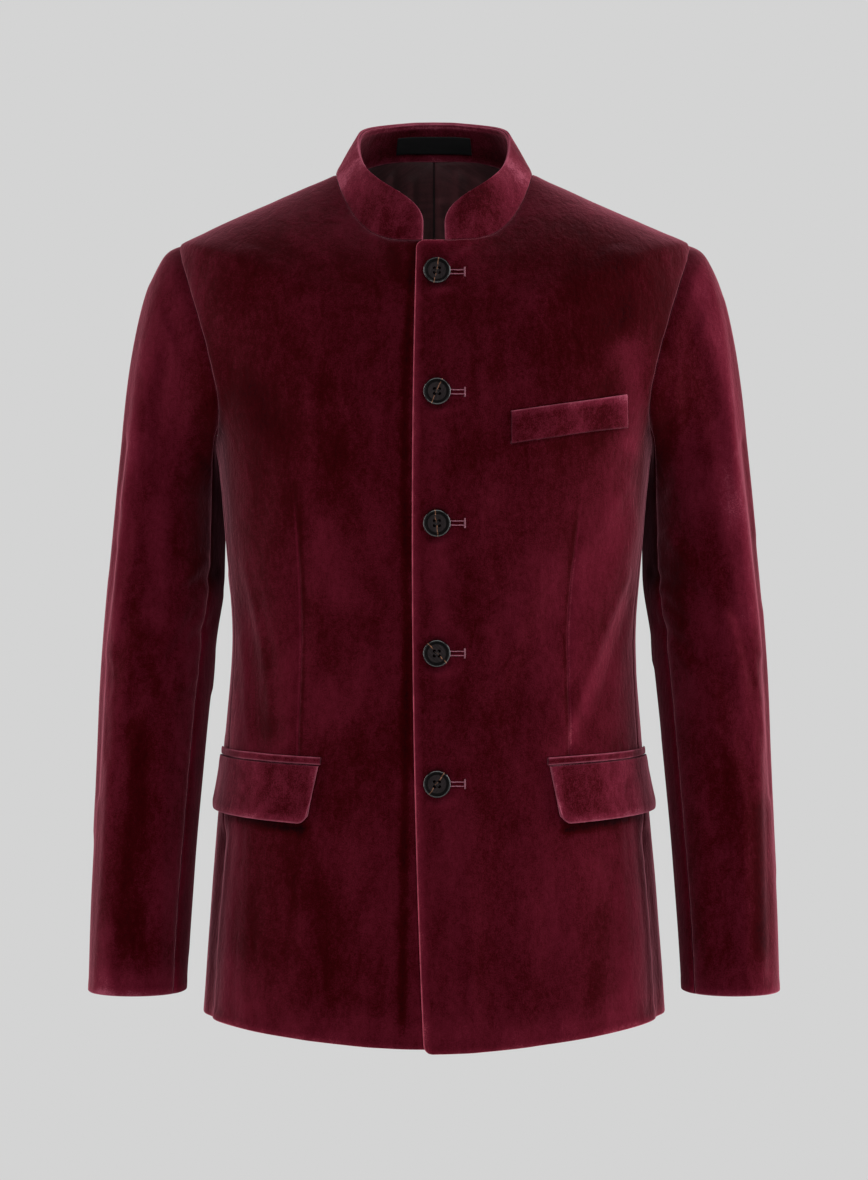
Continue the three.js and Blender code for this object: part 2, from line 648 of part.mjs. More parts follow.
function flap(side) {
  const edges = [FLAP_FRONT_X, FLAP_FOOT_X].map((x) => frontPlace(x, FLAP_TOP_Z)[0]);
  const width = 128;
  const place = (s, t) => {
    const angle = mix(mix(edges[0], edges[1], t), FLAP_REAR, s);
    const corner = fillet(FLAP_CORNER, s * width) + fillet(FLAP_CORNER, (1 - s) * width);
    const top = FLAP_TOP_Z + FLAP_TOP_RISE * s;
    const foot = FLAP_TOP_Z - FLAP_DEPTH + FLAP_FOOT_RISE * s + corner;
    return placeAt(angle, mix(top, foot, t));
  };
  const stand = (s, t) => POCKET_LIFT + (FLAP_FLARE + FLAP_REAR_FLARE * s ** 3) * t ** 1.5;
  const point = (s, t, lift) => {
    const [angle, row] = place(s, t);
    return onBody(side * angle, row, lift + stand(s, t));
  };
  const columns = [0, 0.02, 0.07, ...steps(0.18, 0.82, 5), 0.93, 0.98, 1];
  const rows = [0, 0.2, 0.5, 0.8, 1];
  const grid = (lift) => rows.map((t) => columns.map((s) => point(s, t, lift)));
  return solidBetween(grid(FLAP_THICK), grid(0));
}

// The narrow folded strip above a flap.
function jet(side) {
  const front = frontPlace(FLAP_FRONT_X - JET_OVERRUN, FLAP_TOP_Z)[0];
  const rear = FLAP_REAR + 0.01;
  const point = (s, t, lift) => {
    const foot = FLAP_TOP_Z + FLAP_TOP_RISE * s + LAYER_GAP + 0.3;
    const [angle, row] = placeAt(mix(front, rear, s), foot + JET_HEIGHT * t);
    return onBody(side * angle, row, lift + POCKET_LIFT);
  };
  const grid = (lift) => steps(0, 1, 2).map((t) => steps(0, 1, 9).map((s) => point(s, t, lift)));
  return solidBetween(grid(JET_THICK), grid(0));
}

const WELT_FRONT_X = 64;
const WELT_REAR_X = 163.5;
const WELT_TOP_Z = -211.5; // at its front end
const WELT_RISE = 16;
const WELT_HEIGHT = 27.5;
function chestWelt() {
  const point = (s, t, lift) => {
    const z = WELT_TOP_Z - WELT_HEIGHT * (1 - t) + WELT_RISE * s;
    const [angle, row] = frontPlace(mix(WELT_FRONT_X, WELT_REAR_X, s), z);
    return onBody(angle, row, lift + POCKET_LIFT);
  };
  const grid = (lift) => steps(0, 1, 2).map((t) => steps(0, 1, 8).map((s) => point(s, t, lift)));
  return solidBetween(grid(VELVET), grid(0));
}

// ---------- Manifold helpers ----------
// The geometry as a solid that can be cut and joined.
function solidOf(geometry) {
  const bare = geometry.index ? geometry.toNonIndexed() : geometry.clone();
  const positions = new THREE.BufferGeometry().setAttribute("position", bare.attributes.position);
  const merged = mergeVertices(positions, 1e-4);
  const vertProperties = merged.attributes.position.array;
  const triVerts = new Uint32Array(merged.index.array);
  return new wasm.Manifold(new wasm.Mesh({ numProp: 3, vertProperties, triVerts }));
}

function geometryOfSolid(solid) {
  const mesh = solid.getMesh();
  const positions = new Float32Array(mesh.numVert * 3);
  for (let i = 0; i < mesh.numVert; i += 1)
    positions.set(mesh.vertProperties.subarray(i * mesh.numProp, i * mesh.numProp + 3), i * 3);
  return new THREE.BufferGeometry()
    .setAttribute("position", new THREE.BufferAttribute(positions, 3))
    .setIndex(new THREE.BufferAttribute(mesh.triVerts, 1));
}

const cutAll = (geometry, cutters) =>
  geometryOfSolid(cutters.reduce((solid, cutter) => solid.subtract(solidOf(cutter)), solidOf(geometry)));
const joinAll = (pieces) =>
  geometryOfSolid(pieces.slice(1).reduce((solid, piece) => solid.add(solidOf(piece)), solidOf(pieces[0])));

// ---------- Buttons and buttonholes ----------
// A frame at a button's middle: its z looks out of the cloth and its x along the buttonhole.
function buttonFrame(z) {
  const [angle, row] = frontPlace(BUTTON_X, z);
  const middle = onBody(angle, row, OVERLAP_LIFT);
  const out = normalOf(bodyPoint, angle, row);
  const up = new THREE.Vector3(0, 0, 1).addScaledVector(out, -out.z).normalize();
  const along = up.clone().cross(out).normalize();
  return new THREE.Matrix4().makeBasis(along, up, out).setPosition(middle);
}
const BUTTON_HEIGHTS = Array.from({ length: BUTTON_COUNT }, (_, i) =>
  i === 0 ? TOP_BUTTON_Z : TOP_BUTTON_Z - TOP_BUTTON_PITCH - BUTTON_PITCH * (i - 1),
);

const HOLE_LIFT = 0.5;
const HOLE_THREAD = 0.8; // thickness of the worked edge
const BUTTON_SEAT = 2.5; // underside of a button above the cloth
const BUTTON_THICK = 3.8;
const BUTTON_DISH = 1.5; // depth of the middle below the rim
const RIM_WIDTH = 2.8;
const SEWING_HOLE = 1;
const SEWING_HOLE_OFFSET = 2;

// A rod along z from low to high.
function rod(radius, low, high, sides, x = 0, y = 0) {
  const shape = new THREE.CylinderGeometry(radius, radius, high - low, sides);
  return shape.rotateX(RIGHT_ANGLE).translate(x, y, (low + high) / 2);
}
const SEWING_HOLES = [-1, 1].flatMap((i) =>
  [-1, 1].map((j) => [i * SEWING_HOLE_OFFSET, j * SEWING_HOLE_OFFSET]),
);

function button() {
  const dish = BUTTON_THICK - BUTTON_DISH;
  const profile = [
    [0, 0],
    [BUTTON_RADIUS * 0.72, 0],
    [BUTTON_RADIUS * 0.95, 1],
    [BUTTON_RADIUS, 2.1],
    [BUTTON_RADIUS - 0.5, BUTTON_THICK - 0.4],
    [BUTTON_RADIUS - 1.2, BUTTON_THICK],
    [BUTTON_RADIUS - RIM_WIDTH + 0.4, BUTTON_THICK - 0.1],
    [BUTTON_RADIUS - RIM_WIDTH - 0.7, dish + 0.1],
    [0, dish],
  ].map(([radius, height]) => new THREE.Vector2(radius, height));
  const turned = new THREE.LatheGeometry(profile, 20).rotateX(RIGHT_ANGLE);
  const holes = SEWING_HOLES.map(([x, y]) => rod(SEWING_HOLE, -1, BUTTON_THICK + 1, 8, x, y));
  return cutAll(turned, holes).translate(0, 0, BUTTON_SEAT);
}

const SHANK_RADIUS = 1.3;
const THREAD_RADIUS = 0.6;
// The sewing thread: its shank down through the buttonhole, four strands and two crossed bars.
function sewingThread() {
  const low = -2 * OVERLAP_LIFT + 2 * LAYER_GAP;
  const top = BUTTON_SEAT + BUTTON_THICK - BUTTON_DISH + LAYER_GAP;
  const spread = BUTTON_SEAT - LAYER_GAP;
  const diagonal = 2 * Math.hypot(SEWING_HOLE_OFFSET, SEWING_HOLE_OFFSET) + THREAD_RADIUS;
  const bars = [45, -45].map((turn) =>
    new THREE.BoxGeometry(diagonal, 2 * THREAD_RADIUS, THREAD_RADIUS)
      .rotateZ(degrees(turn))
      .translate(0, 0, top + THREAD_RADIUS / 2),
  );
  const strands = SEWING_HOLES.map(([x, y]) =>
    rod(THREAD_RADIUS, spread - 0.3, top + 0.3, 6, x, y),
  );
  const spreader = rod(3.6, spread - 0.6, spread, 10);
  return joinAll([rod(SHANK_RADIUS, low, spread - 0.3, 8), spreader, ...strands, ...bars]);
}

// The worked edge of a keyhole buttonhole, as half outlines from the eye to the bar at its end.
const HOLE_END = 24.5; // from the button's middle
const HOLE_OUTLINE = table("x outer inner", [
  [-4.2, 0, 0],
  [-3.4, 2.6, 0],
  [-1, 4.2, 2],
  [1.4, 4, 2],
  [3.6, 2.7, 0.7],
  [12, 2.7, 0.7],
  [HOLE_END - 1.8, 2.7, 0.7],
  [HOLE_END - 1.7, 4.2, 0.5],
  [HOLE_END, 4.2, 0],
]);
const EYE_BACK = -2.2;
const SLIT_END = HOLE_END - 1.9;

// The buttonhole's outline, outer or inner, anticlockwise.
function holeLoop(key) {
  const back = key === "inner" ? EYE_BACK : HOLE_OUTLINE[0].x;
  const end = key === "inner" ? SLIT_END : HOLE_END;
  const half = HOLE_OUTLINE.map((row) => [clamp(row.x, back, end), row[key]]);
  const lower = half.slice(1, -1).map(([x, y]) => [x, -Math.max(y, 0.3)]);
  const upper = half.slice(1, -1).reverse().map(([x, y]) => [x, Math.max(y, 0.3)]);
  const tip = key === "inner" ? 0.45 : HOLE_OUTLINE.at(-1).outer;
  return [[back - 0.15, 0], ...lower, [end, -tip], [end, tip], ...upper];
}

function buttonhole(z) {
  const matrix = buttonFrame(z);
  const rows = [
    ["inner", 0],
    ["outer", 0],
    ["outer", HOLE_THREAD],
    ["inner", HOLE_THREAD],
  ];
  const points = rows.flatMap(([key, height]) =>
    holeLoop(key).map(([x, y]) => new THREE.Vector3(x, y, HOLE_LIFT + height).applyMatrix4(matrix)),
  );
  const count = holeLoop("outer").length;
  const index = [];
  for (let k = 0; k < 4; k += 1)
    for (let i = 0; i < count; i += 1) {
      const j = (i + 1) % count;
      const [a, b] = [k * count, ((k + 1) % 4) * count];
      index.push(a + i, a + j, b + j, a + i, b + j, b + i);
    }
  return geometryOf(points, index);
}

// What a buttonhole takes out of the front: an eye for the shank and a slit.
function holeCutters(z) {
  const matrix = buttonFrame(z);
  const slit = new THREE.BoxGeometry(SLIT_END, 0.9, 12).translate(SLIT_END / 2 - 0.3, 0, 0);
  return [joinAll([rod(1.8, -6, 6, 8), slit]).applyMatrix4(matrix)];
}

// ---------- Materials and assembly ----------
const cloth = (color, roughness) =>
  new THREE.MeshStandardMaterial({ color, roughness, metalness: 0 });
const velvet = cloth(0x4a0a16, 0.95);
const satin = cloth(0x3a1a1c, 0.5);
const labelWeave = cloth(0x0b0b0c, 0.6);
const holeThread = cloth(0x7a3040, 0.7);
const darkThread = cloth(0x1c0d0e, 0.8);
const horn = cloth(0x17100e, 0.25);

const jacket = new THREE.Group();
function add(name, geometry, material, parent = jacket) {
  const mesh = new THREE.Mesh(geometry, material);
  mesh.name = name;
  parent.add(mesh);
  return mesh;
}

const SIDES = [
  ["left", 1],
  ["right", -1],
];
for (const [name, side] of SIDES) {
  const whole = frontPanel(side);
  const cutters = BUTTON_HEIGHTS.flatMap(holeCutters);
  add(`front_${name}`, side > 0 ? cutAll(whole, cutters) : whole, velvet);
  add(`side_panel_${name}`, sidePanel(side), velvet);
  add(`back_${name}`, backPanel(side), velvet);
  add(`sleeve_top_${name}`, sleevePiece(side, HIND_SEAM, FOREARM_SEAM, 9), velvet);
  add(
    `sleeve_under_${name}`,
    sleevePiece(side, FOREARM_SEAM, HIND_SEAM + 2 * Math.PI, 6),
    velvet,
  );
  add(`lining_back_${name}`, backLining(side), satin);
  add(`pocket_jet_${name}`, jet(side), velvet);
  add(`pocket_flap_${name}`, flap(side), velvet);
}
add("collar_outer", collarPiece(0, VELVET), velvet);
add("collar_facing", collarPiece(-VELVET - LAYER_GAP, COLLAR_FACING), velvet);
add("neck_label", neckLabel(), labelWeave);
add("chest_welt", chestWelt(), velvet);

BUTTON_HEIGHTS.forEach((z, i) => {
  const seat = new THREE.Group();
  seat.applyMatrix4(buttonFrame(z));
  jacket.add(seat);
  add(`button_${i + 1}`, button(), horn, seat);
  add(`button_thread_${i + 1}`, sewingThread(), darkThread, seat);
  add(`buttonhole_${i + 1}`, buttonhole(z), holeThread);
});

export default jacket;
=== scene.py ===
# %% [markdown]
# # A velvet Nehru jacket
# The jacket is worn-shaped but nobody is in it: two fronts, two narrow side panels, two backs,
# two-piece sleeves and a stand collar, all cut from dark red cotton velvet. We first load the
# fixed frame. It holds every piece as a plain solid in the right place, so each finer piece that
# we make only has to sit where its solid sits.

# %% Load the frame
import json
import math
import bpy
import numpy as np
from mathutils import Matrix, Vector

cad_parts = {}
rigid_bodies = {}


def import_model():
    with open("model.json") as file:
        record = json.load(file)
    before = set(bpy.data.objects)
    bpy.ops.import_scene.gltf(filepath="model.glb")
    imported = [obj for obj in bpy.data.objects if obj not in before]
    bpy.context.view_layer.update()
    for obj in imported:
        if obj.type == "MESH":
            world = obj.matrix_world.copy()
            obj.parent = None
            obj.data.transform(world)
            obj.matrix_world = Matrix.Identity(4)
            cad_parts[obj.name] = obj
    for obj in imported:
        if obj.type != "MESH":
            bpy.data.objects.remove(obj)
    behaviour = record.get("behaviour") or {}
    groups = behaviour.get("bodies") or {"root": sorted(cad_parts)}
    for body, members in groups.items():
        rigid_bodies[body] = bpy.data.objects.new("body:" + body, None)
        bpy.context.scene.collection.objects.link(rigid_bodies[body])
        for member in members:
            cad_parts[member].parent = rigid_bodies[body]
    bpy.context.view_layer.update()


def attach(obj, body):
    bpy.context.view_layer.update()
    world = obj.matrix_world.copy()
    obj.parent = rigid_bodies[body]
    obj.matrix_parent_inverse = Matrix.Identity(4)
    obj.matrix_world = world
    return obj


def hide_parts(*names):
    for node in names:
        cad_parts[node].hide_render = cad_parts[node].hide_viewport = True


for leftover in list(bpy.data.objects):
    bpy.data.objects.remove(leftover)
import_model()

# %% [markdown]
# ## Camera
# A jacket for a shop page is shot from far off with a long lens, level with its middle, so that
# its shoulders and hem keep their true proportions. Depth of field stays off. The Standard view
# shows colours as they are set; a film-like view would turn the deep red brown.

# %% Set up the camera
camera_data = bpy.data.cameras.new("front_camera")
camera_data.lens = 90.65
camera_data.sensor_width = 36
camera_data.clip_end = 60
camera = bpy.data.objects.new("front_camera", camera_data)
camera.location = (0, -2.6, -0.361)
camera.rotation_euler = (math.radians(90), 0, 0)
scene = bpy.context.scene
scene.collection.objects.link(camera)
scene.camera = camera
scene.view_settings.view_transform = "Standard"
print("camera", round(camera.location.y, 2), "m in front, lens", round(camera_data.lens, 1), "mm")

# %% [markdown]
# ## Small helpers for node trees
# A material or a geometry tree is a set of nodes joined by links. These helpers add one node, set
# its sockets by name and join it up, so that a finish can be written down in a few lines.

# %% Node helpers
def feed(tree, sockets, values):
    """Give each input socket its value: a plain one, or a link from another socket."""
    for socket, value in zip(sockets, values):
        if isinstance(value, bpy.types.NodeSocket):
            tree.links.new(value, socket)
        else:
            socket.default_value = value


def put(tree, kind, settings=None, **values):
    """Add a node with its own settings, and feed the sockets named by the values. Where two share
    a name, the first takes it."""
    node = tree.nodes.new(kind)
    for key, value in (settings or {}).items():
        setattr(node, key, value)
    named = {s.name.replace(" ", "_"): s for s in list(node.inputs)[::-1] if s.enabled}
    feed(tree, [named[key] for key in values], values.values())
    return node


def maths(tree, operation, a, b=0.0, clamp=False):
    """One step of arithmetic on numbers or sockets."""
    node = put(tree, "ShaderNodeMath", {"operation": operation, "use_clamp": clamp})
    feed(tree, node.inputs, (a, b))
    return node.outputs[0]


def times(tree, a, b):
    return maths(tree, "MULTIPLY", a, b)


def total(tree, *terms):
    """The sum of all the terms, added up in their order."""
    so_far = terms[0]
    for term in terms[1:]:
        so_far = maths(tree, "ADD", so_far, term)
    return so_far


def blend_colour(tree, share, a, b):
    """Mix two colours by a share from 0 to 1."""
    node = put(tree, "ShaderNodeMix", {"data_type": "RGBA"})
    feed(tree, (node.inputs[0], node.inputs[6], node.inputs[7]), (share, a, b))
    return node.outputs[2]


def blend_shaders(tree, share, a, b):
    node = tree.nodes.new("ShaderNodeMixShader")
    feed(tree, node.inputs, (share, a.outputs[0], b.outputs[0]))
    return node.outputs[0]


def remap(tree, value, low, high, to_low=0.0, to_high=1.0):
    """Stretch a range of values over another, softly and without overshoot."""
    soft = {"interpolation_type": "SMOOTHSTEP"}
    ends = {"From_Min": low, "From_Max": high, "To_Min": to_low, "To_Max": to_high}
    return put(tree, "ShaderNodeMapRange", soft, Value=value, **ends).outputs[0]


def noise(tree, place, scale, detail=2.0, distortion=0.0, roughness=0.5):
    """Smooth noise at a place, with features of about 1/scale metres."""
    values = {"Scale": scale, "Detail": detail, "Distortion": distortion, "Roughness": roughness}
    return put(tree, "ShaderNodeTexNoise", Vector=place, **values).outputs[0]


def stretched(tree, place, scale):
    """The same place with each axis scaled, which draws a pattern out along an axis."""
    return put(tree, "ShaderNodeMapping", Vector=place, Scale=scale).outputs[0]


def kept_value(tree, name):
    """A value that the mesh carries for each point."""
    return put(tree, "ShaderNodeAttribute", {"attribute_name": name}).outputs["Fac"]


def new_group(name, inputs, outputs):
    """An empty shader group with named inputs and outputs."""
    tree = bpy.data.node_groups.new(name, "ShaderNodeTree")
    for label, kind, value in inputs:
        tree.interface.new_socket(label, in_out="INPUT", socket_type=kind).default_value = value
    for label, kind in outputs:
        tree.interface.new_socket(label, in_out="OUTPUT", socket_type=kind)
    return tree, tree.nodes.new("NodeGroupInput").outputs, tree.nodes.new("NodeGroupOutput").inputs


def new_material(name, **shader):
    """A material with a Principled shader whose constant sockets are set by name."""
    material = bpy.data.materials.new(name)
    material.use_nodes = True
    tree = material.node_tree
    tree.nodes.clear()
    principled = put(tree, "ShaderNodeBsdfPrincipled", **shader)
    put(tree, "ShaderNodeOutputMaterial", Surface=principled.outputs[0])
    return material, tree, principled


def make_finish(name, group, bump, shader, **values):
    """A material that takes its colour and bump, and any roughness, from a group placed with its
    own values; bump is a strength and a height in metres."""
    material, tree, principled = new_material(name, **shader)
    placed = put(tree, "ShaderNodeGroup", {"node_tree": group}, **values)
    given = {"Height": placed.outputs["Height"], "Strength": bump[0], "Distance": bump[1]}
    raised = put(tree, "ShaderNodeBump", **given)
    for key, socket in (("Base Color", placed.outputs["Colour"]), ("Normal", raised.outputs[0])):
        tree.links.new(socket, principled.inputs[key])
    if "Roughness" in placed.outputs:
        tree.links.new(placed.outputs["Roughness"], principled.inputs["Roughness"])
    return material


print("node helpers ready")

# %% [markdown]
# ## Velvet
# Velvet is a ground cloth with a short dense pile. Light that falls straight into the pile is
# swallowed, so it looks almost black-red face on; light that skims it catches the pile's flanks,
# so the cloth turns pink-red at folds, rolled edges and seams. The Principled shader's sheen does
# that. Where hands have brushed the pile it lies another way and shows as soft paler clouds and
# downward streaks. That mottle, the rubbed edges and the fine grain of the pile are one node
# group, so the body, the collar and the flaps can each use it with their own values. The group
# also paints light into the colour: a painted highlight glowing along free edges and lining the
# worn edges and seams, near-black painted shade down seam grooves and wherever the nap value falls
# below zero, and the painted highlights and shade that each piece lays in its nap value.

# %% The pile as a node group
pile, given, made = new_group(
    "velvet_pile",
    [
        ("Deep", "NodeSocketColor", (0.02, 0.001, 0.002, 1)),
        ("Brushed", "NodeSocketColor", (0.06, 0.004, 0.01, 1)),
        ("Rubbed", "NodeSocketColor", (0.2, 0.04, 0.08, 1)),
        ("Cloud Scale", "NodeSocketFloat", 9.0),
        ("Cloud Share", "NodeSocketFloat", 0.5),
        ("Edge Wear", "NodeSocketFloat", 0.6),
    ],
    [("Colour", "NodeSocketColor"), ("Height", "NodeSocketFloat")],
)
where = pile.nodes.new("ShaderNodeTexCoord").outputs["Object"]
clouds = noise(pile, stretched(pile, where, (1, 1, 0.8)), given["Cloud Scale"], 7, 0.5, 0.62)
streaks = noise(pile, stretched(pile, where, (1, 1, 0.35)), 70.0, 4, 0.4)
strokes = noise(pile, stretched(pile, where, (1, 1, 0.6)), 260.0, 3, 0.5)
grain = noise(pile, where, 1150.0)
mottle = total(
    pile,
    remap(pile, clouds, 0.36, 0.64, -0.17, 0.2),
    remap(pile, streaks, 0.3, 0.7, -0.11, 0.11),
    remap(pile, strokes, 0.3, 0.7, -0.1, 0.11),
    remap(pile, grain, 0.25, 0.75, -0.26, 0.3),
)
# the nap value carries the brushed pile together with painted highlights and painted shade
nap, to_edge, to_seam = (kept_value(pile, name) for name in ("nap", "to_edge", "to_seam"))
# painted highlight: the colour glows paler within 8.5 mm of a free edge, as if the rolled edge caught the
# light
painted_edge_glow = remap(pile, to_edge, 1.2, 8.5, 0.65, 0)
# share between the deep and the brushed colour: random mottle, plus the nap value with its painted light and
# shade, plus the painted edge glow
lie_and_painted_light = total(pile, times(pile, mottle, given["Cloud Share"]), nap, 0.3, painted_edge_glow)
cloth_colour = blend_colour(pile, maths(pile, "ADD", lie_and_painted_light, 0.0, clamp=True), given["Deep"], given["Brushed"])
cloth_colour = blend_colour(pile, remap(pile, lie_and_painted_light, 1.0, 2.0, 0, 0.6), cloth_colour, given["Rubbed"])
# painted shade: where that share falls below zero the colour goes towards near black
painted_shade = remap(pile, lie_and_painted_light, -0.9, 0.0, 0.92, 0)
cloth_colour = blend_colour(pile, painted_shade, cloth_colour, (0.002, 0.0001, 0.0002, 1))
ragged = remap(pile, noise(pile, where, 90.0), 0.25, 0.75, 0.6, 1.4)
# a pale line right at free edges and a faint one beside seams: partly worn pile, partly painted highlight;
# the Edge Wear input scales both
edge_wear = times(pile, remap(pile, to_edge, 0.2, 1.7, 1, 0), ragged)
seam_wear_and_highlight = times(pile, remap(pile, to_seam, 0.6, 1.8, 0.14, 0), ragged)
worn_and_lit = maths(pile, "MULTIPLY", maths(pile, "MAXIMUM", edge_wear, seam_wear_and_highlight), given["Edge Wear"], clamp=True)
worn_and_lit_colour = blend_colour(pile, worn_and_lit, cloth_colour, given["Rubbed"])
# painted shade: the colour goes near black down the seam grooves
velvet_seam_shade = remap(pile, to_seam, 0.15, 0.75, 0.85, 0)
raised = total(pile, times(pile, grain, 0.35), times(pile, strokes, 0.9), times(pile, streaks, 2.2))
feed(pile, made, (blend_colour(pile, velvet_seam_shade, worn_and_lit_colour, (0.006, 0.0005, 0.001, 1)), raised))
print("velvet pile group:", len(pile.nodes), "nodes")

# %% [markdown]
# Sheen sits on the shader itself as a plain number. Four cuts of the same velvet differ a little.
# The collar, flaps, strips and welt are cut across the pile, so they look paler and their clouds
# are smaller. The under sleeves take a shaded copy with hardly any sheen and a paler brushed
# colour: painted shade between arm and body.

# %% Four velvets
def velvet(name, deep, brushed, rubbed_and_lit, cloud_scale, cloud_share, edge_wear, sheen):
    shader = {"Roughness": 0.95, "Specular_IOR_Level": 0.0, "Sheen_Weight": sheen}
    shader |= {"Sheen_Roughness": 0.37, "Sheen_Tint": (1.0, 0.33, 0.43, 1)}
    colours = {"Deep": (*deep, 1), "Brushed": (*brushed, 1), "Rubbed": (*rubbed_and_lit, 1)}
    wear = {"Cloud_Scale": cloud_scale, "Cloud_Share": cloud_share, "Edge_Wear": edge_wear}
    return make_finish(name, pile, (0.8, 0.0005), shader, **colours, **wear)


BODY_VELVET = velvet(
    "velvet_body", (0.0185, 0.0002, 0.0006), (0.07, 0.0049, 0.0115), (0.33, 0.055, 0.085), 9, 1, 0.7, 0.5
)
SLEEVE_VELVET = velvet(
    "velvet_sleeve", (0.02, 0.0002, 0.0007), (0.073, 0.0056, 0.013), (0.26, 0.06, 0.095), 9, 1, 0.45, 0.5
)
UNDER_VELVET_SHADED = velvet(
    "velvet_under_sleeve",
    (0.02, 0.0005, 0.0012), (0.079, 0.0038, 0.0113), (0.26, 0.06, 0.095), 9, 1, 0.4, 0.12,
)
TRIM_VELVET = velvet(
    "velvet_trim", (0.023, 0.0004, 0.0013), (0.084, 0.0076, 0.0162), (0.28, 0.065, 0.1), 26, 1.4, 0.5, 0.5
)
print("velvets:", [v.name for v in (BODY_VELVET, SLEEVE_VELVET, UNDER_VELVET_SHADED, TRIM_VELVET)])

# %% [markdown]
# ## Satin, label weave and thread
# The lining is a smooth satin whose long floating threads shine. The label is a stiff black
# weave. Thread is a twisted cord: fine slanting lines of light and dark. The horn of the buttons
# is made later, beside their turned shape.

# %% Satin lining
satin, given, made = new_group(
    "satin_weave",
    [
        ("Dark", "NodeSocketColor", (0.01, 0.003, 0.003, 1)),
        ("Light", "NodeSocketColor", (0.05, 0.02, 0.02, 1)),
    ],
    [("Colour", "NodeSocketColor"), ("Height", "NodeSocketFloat")],
)
flat = put(satin, "ShaderNodeUVMap", {"uv_map": "cut"}).outputs[0]
floats = noise(satin, stretched(satin, flat, (1, 0.08, 1)), 2600.0)
slubs = noise(satin, stretched(satin, flat, (0.1, 1, 1)), 220.0, 3)
tone = total(satin, remap(satin, floats, 0.3, 0.7, 0, 0.4), remap(satin, slubs, 0.3, 0.7, 0, 0.4))
# the nap value adds painted light and shade on the flanks of the lining's folds
tone = maths(satin, "ADD", tone, kept_value(satin, "nap"), clamp=True)
# painted shade: near black along the lining's seams, the centre-back pleat among them
satin_seam_shade = remap(satin, kept_value(satin, "to_seam"), 0.4, 2.2, 0.97, 0)
sateen = blend_colour(satin, tone, given["Dark"], given["Light"])
raised = total(satin, floats, times(satin, slubs, 0.5))
feed(satin, made, (blend_colour(satin, satin_seam_shade, sateen, (0.001, 0.0003, 0.0004, 1)), raised))


def woven(name, dark, light, roughness, specular, sheen, height):
    shader = {"Roughness": roughness, "Specular_IOR_Level": specular, "Sheen_Weight": sheen}
    return make_finish(name, satin, (0.35, height), shader, Dark=(*dark, 1), Light=(*light, 1))


LINING = woven("lining_satin", (0.024, 0.0065, 0.0075), (0.07, 0.02, 0.024), 0.42, 0.4, 0.1, 0.0001)
LABEL = woven("label_weave", (0.0014, 0.0014, 0.0016), (0.005, 0.005, 0.0055), 0.6, 0.15, 0.03, 0.0002)
print("woven finishes:", LINING.name, LABEL.name)

# %% Twisted thread
twist, given, made = new_group(
    "thread_twist",
    [("Shade", "NodeSocketColor", (0.2, 0.1, 0.1, 1)), ("Lit", "NodeSocketColor", (0.4, 0.2, 0.2, 1))],
    [("Colour", "NodeSocketColor"), ("Height", "NodeSocketFloat")],
)
where = twist.nodes.new("ShaderNodeTexCoord").outputs["Object"]
slanting = {"bands_direction": "DIAGONAL"}
plies = put(twist, "ShaderNodeTexWave", slanting, Vector=where, Scale=900.0).outputs["Fac"]
fuzz = noise(twist, where, 2400.0)
tone = maths(twist, "ADD", times(twist, plies, 0.6), times(twist, fuzz, 0.5), clamp=True)
feed(twist, made, (blend_colour(twist, tone, given["Shade"], given["Lit"]), tone))


def thread(name, shade, lit, roughness, sheen):
    shader = {"Roughness": roughness, "Sheen_Weight": sheen, "Sheen_Roughness": 0.4}
    return make_finish(name, twist, (0.5, 0.0001), shader, Shade=(*shade, 1), Lit=(*lit, 1))


HOLE_SILK = thread("buttonhole_silk", (0.15, 0.03, 0.052), (0.36, 0.11, 0.165), 0.5, 0.3)
DARK_THREAD = thread("dark_thread", (0.003, 0.0015, 0.0015), (0.012, 0.006, 0.006), 0.7, 0.02)
print("threads:", HOLE_SILK.name, DARK_THREAD.name)

# %% [markdown]
# ## Tables of sections
# A tailor keeps a body's shape as a few girths at stated heights. We do the same: each row of a
# table is one section, and a curve runs smoothly through the rows. The curve's slope at a row is
# the harmonic mean of the steps on either side, so it never swings past the sizes given. All
# sizes here are in millimetres; they become metres when a mesh is made.

# %% Tables and curves
def hermite(start, start_slope, end, end_slope, f):
    g = np.clip(f, 0, 1)
    inside = start * (2 * g**3 - 3 * g**2 + 1) + start_slope * (g**3 - 2 * g**2 + g)
    inside = inside + end * (3 * g**2 - 2 * g**3) + end_slope * (g**3 - g**2)
    return inside + start_slope * np.minimum(f, 0) + end_slope * np.maximum(f - 1, 0)


class Sections:
    """Rows of named sizes, a stated span apart, joined by a smooth curve that never swings past them."""

    def __init__(self, columns, rows, spans=None):
        self.names = columns.split()
        self.rows = np.array(rows, float)
        self.spans = np.ones(len(rows) - 1) if spans is None else np.array(spans, float)
        step = np.diff(self.rows, axis=0) / self.spans[:, None]
        before, after = np.vstack([step[:1], step]), np.vstack([step, step[-1:]])
        agree = before * after > 0
        self.slopes = np.where(agree, 2 * before * after / np.where(agree, before + after, 1), 0)

    def at(self, place):
        place = np.asarray(place, float)
        i = np.clip(np.floor(place), 0, len(self.rows) - 2).astype(int)
        f, span = (place - i)[..., None], self.spans[i][..., None]
        value = hermite(self.rows[i], self.slopes[i] * span, self.rows[i + 1], self.slopes[i + 1] * span, f)
        return dict(zip(self.names, np.moveaxis(value, -1, 0)))

    def run(self, place):
        """The distance from the first row to a place."""
        return np.interp(place, np.arange(len(self.rows)), np.concatenate([[0], np.cumsum(self.spans)]))


def mix(a, b, share):
    return a + (b - a) * share


def ease(start, end, value):
    """0 before start and 1 after end, with a soft S between; start may be the larger."""
    share = np.clip((value - start) / (end - start), 0, 1)
    return share * share * (3 - 2 * share)


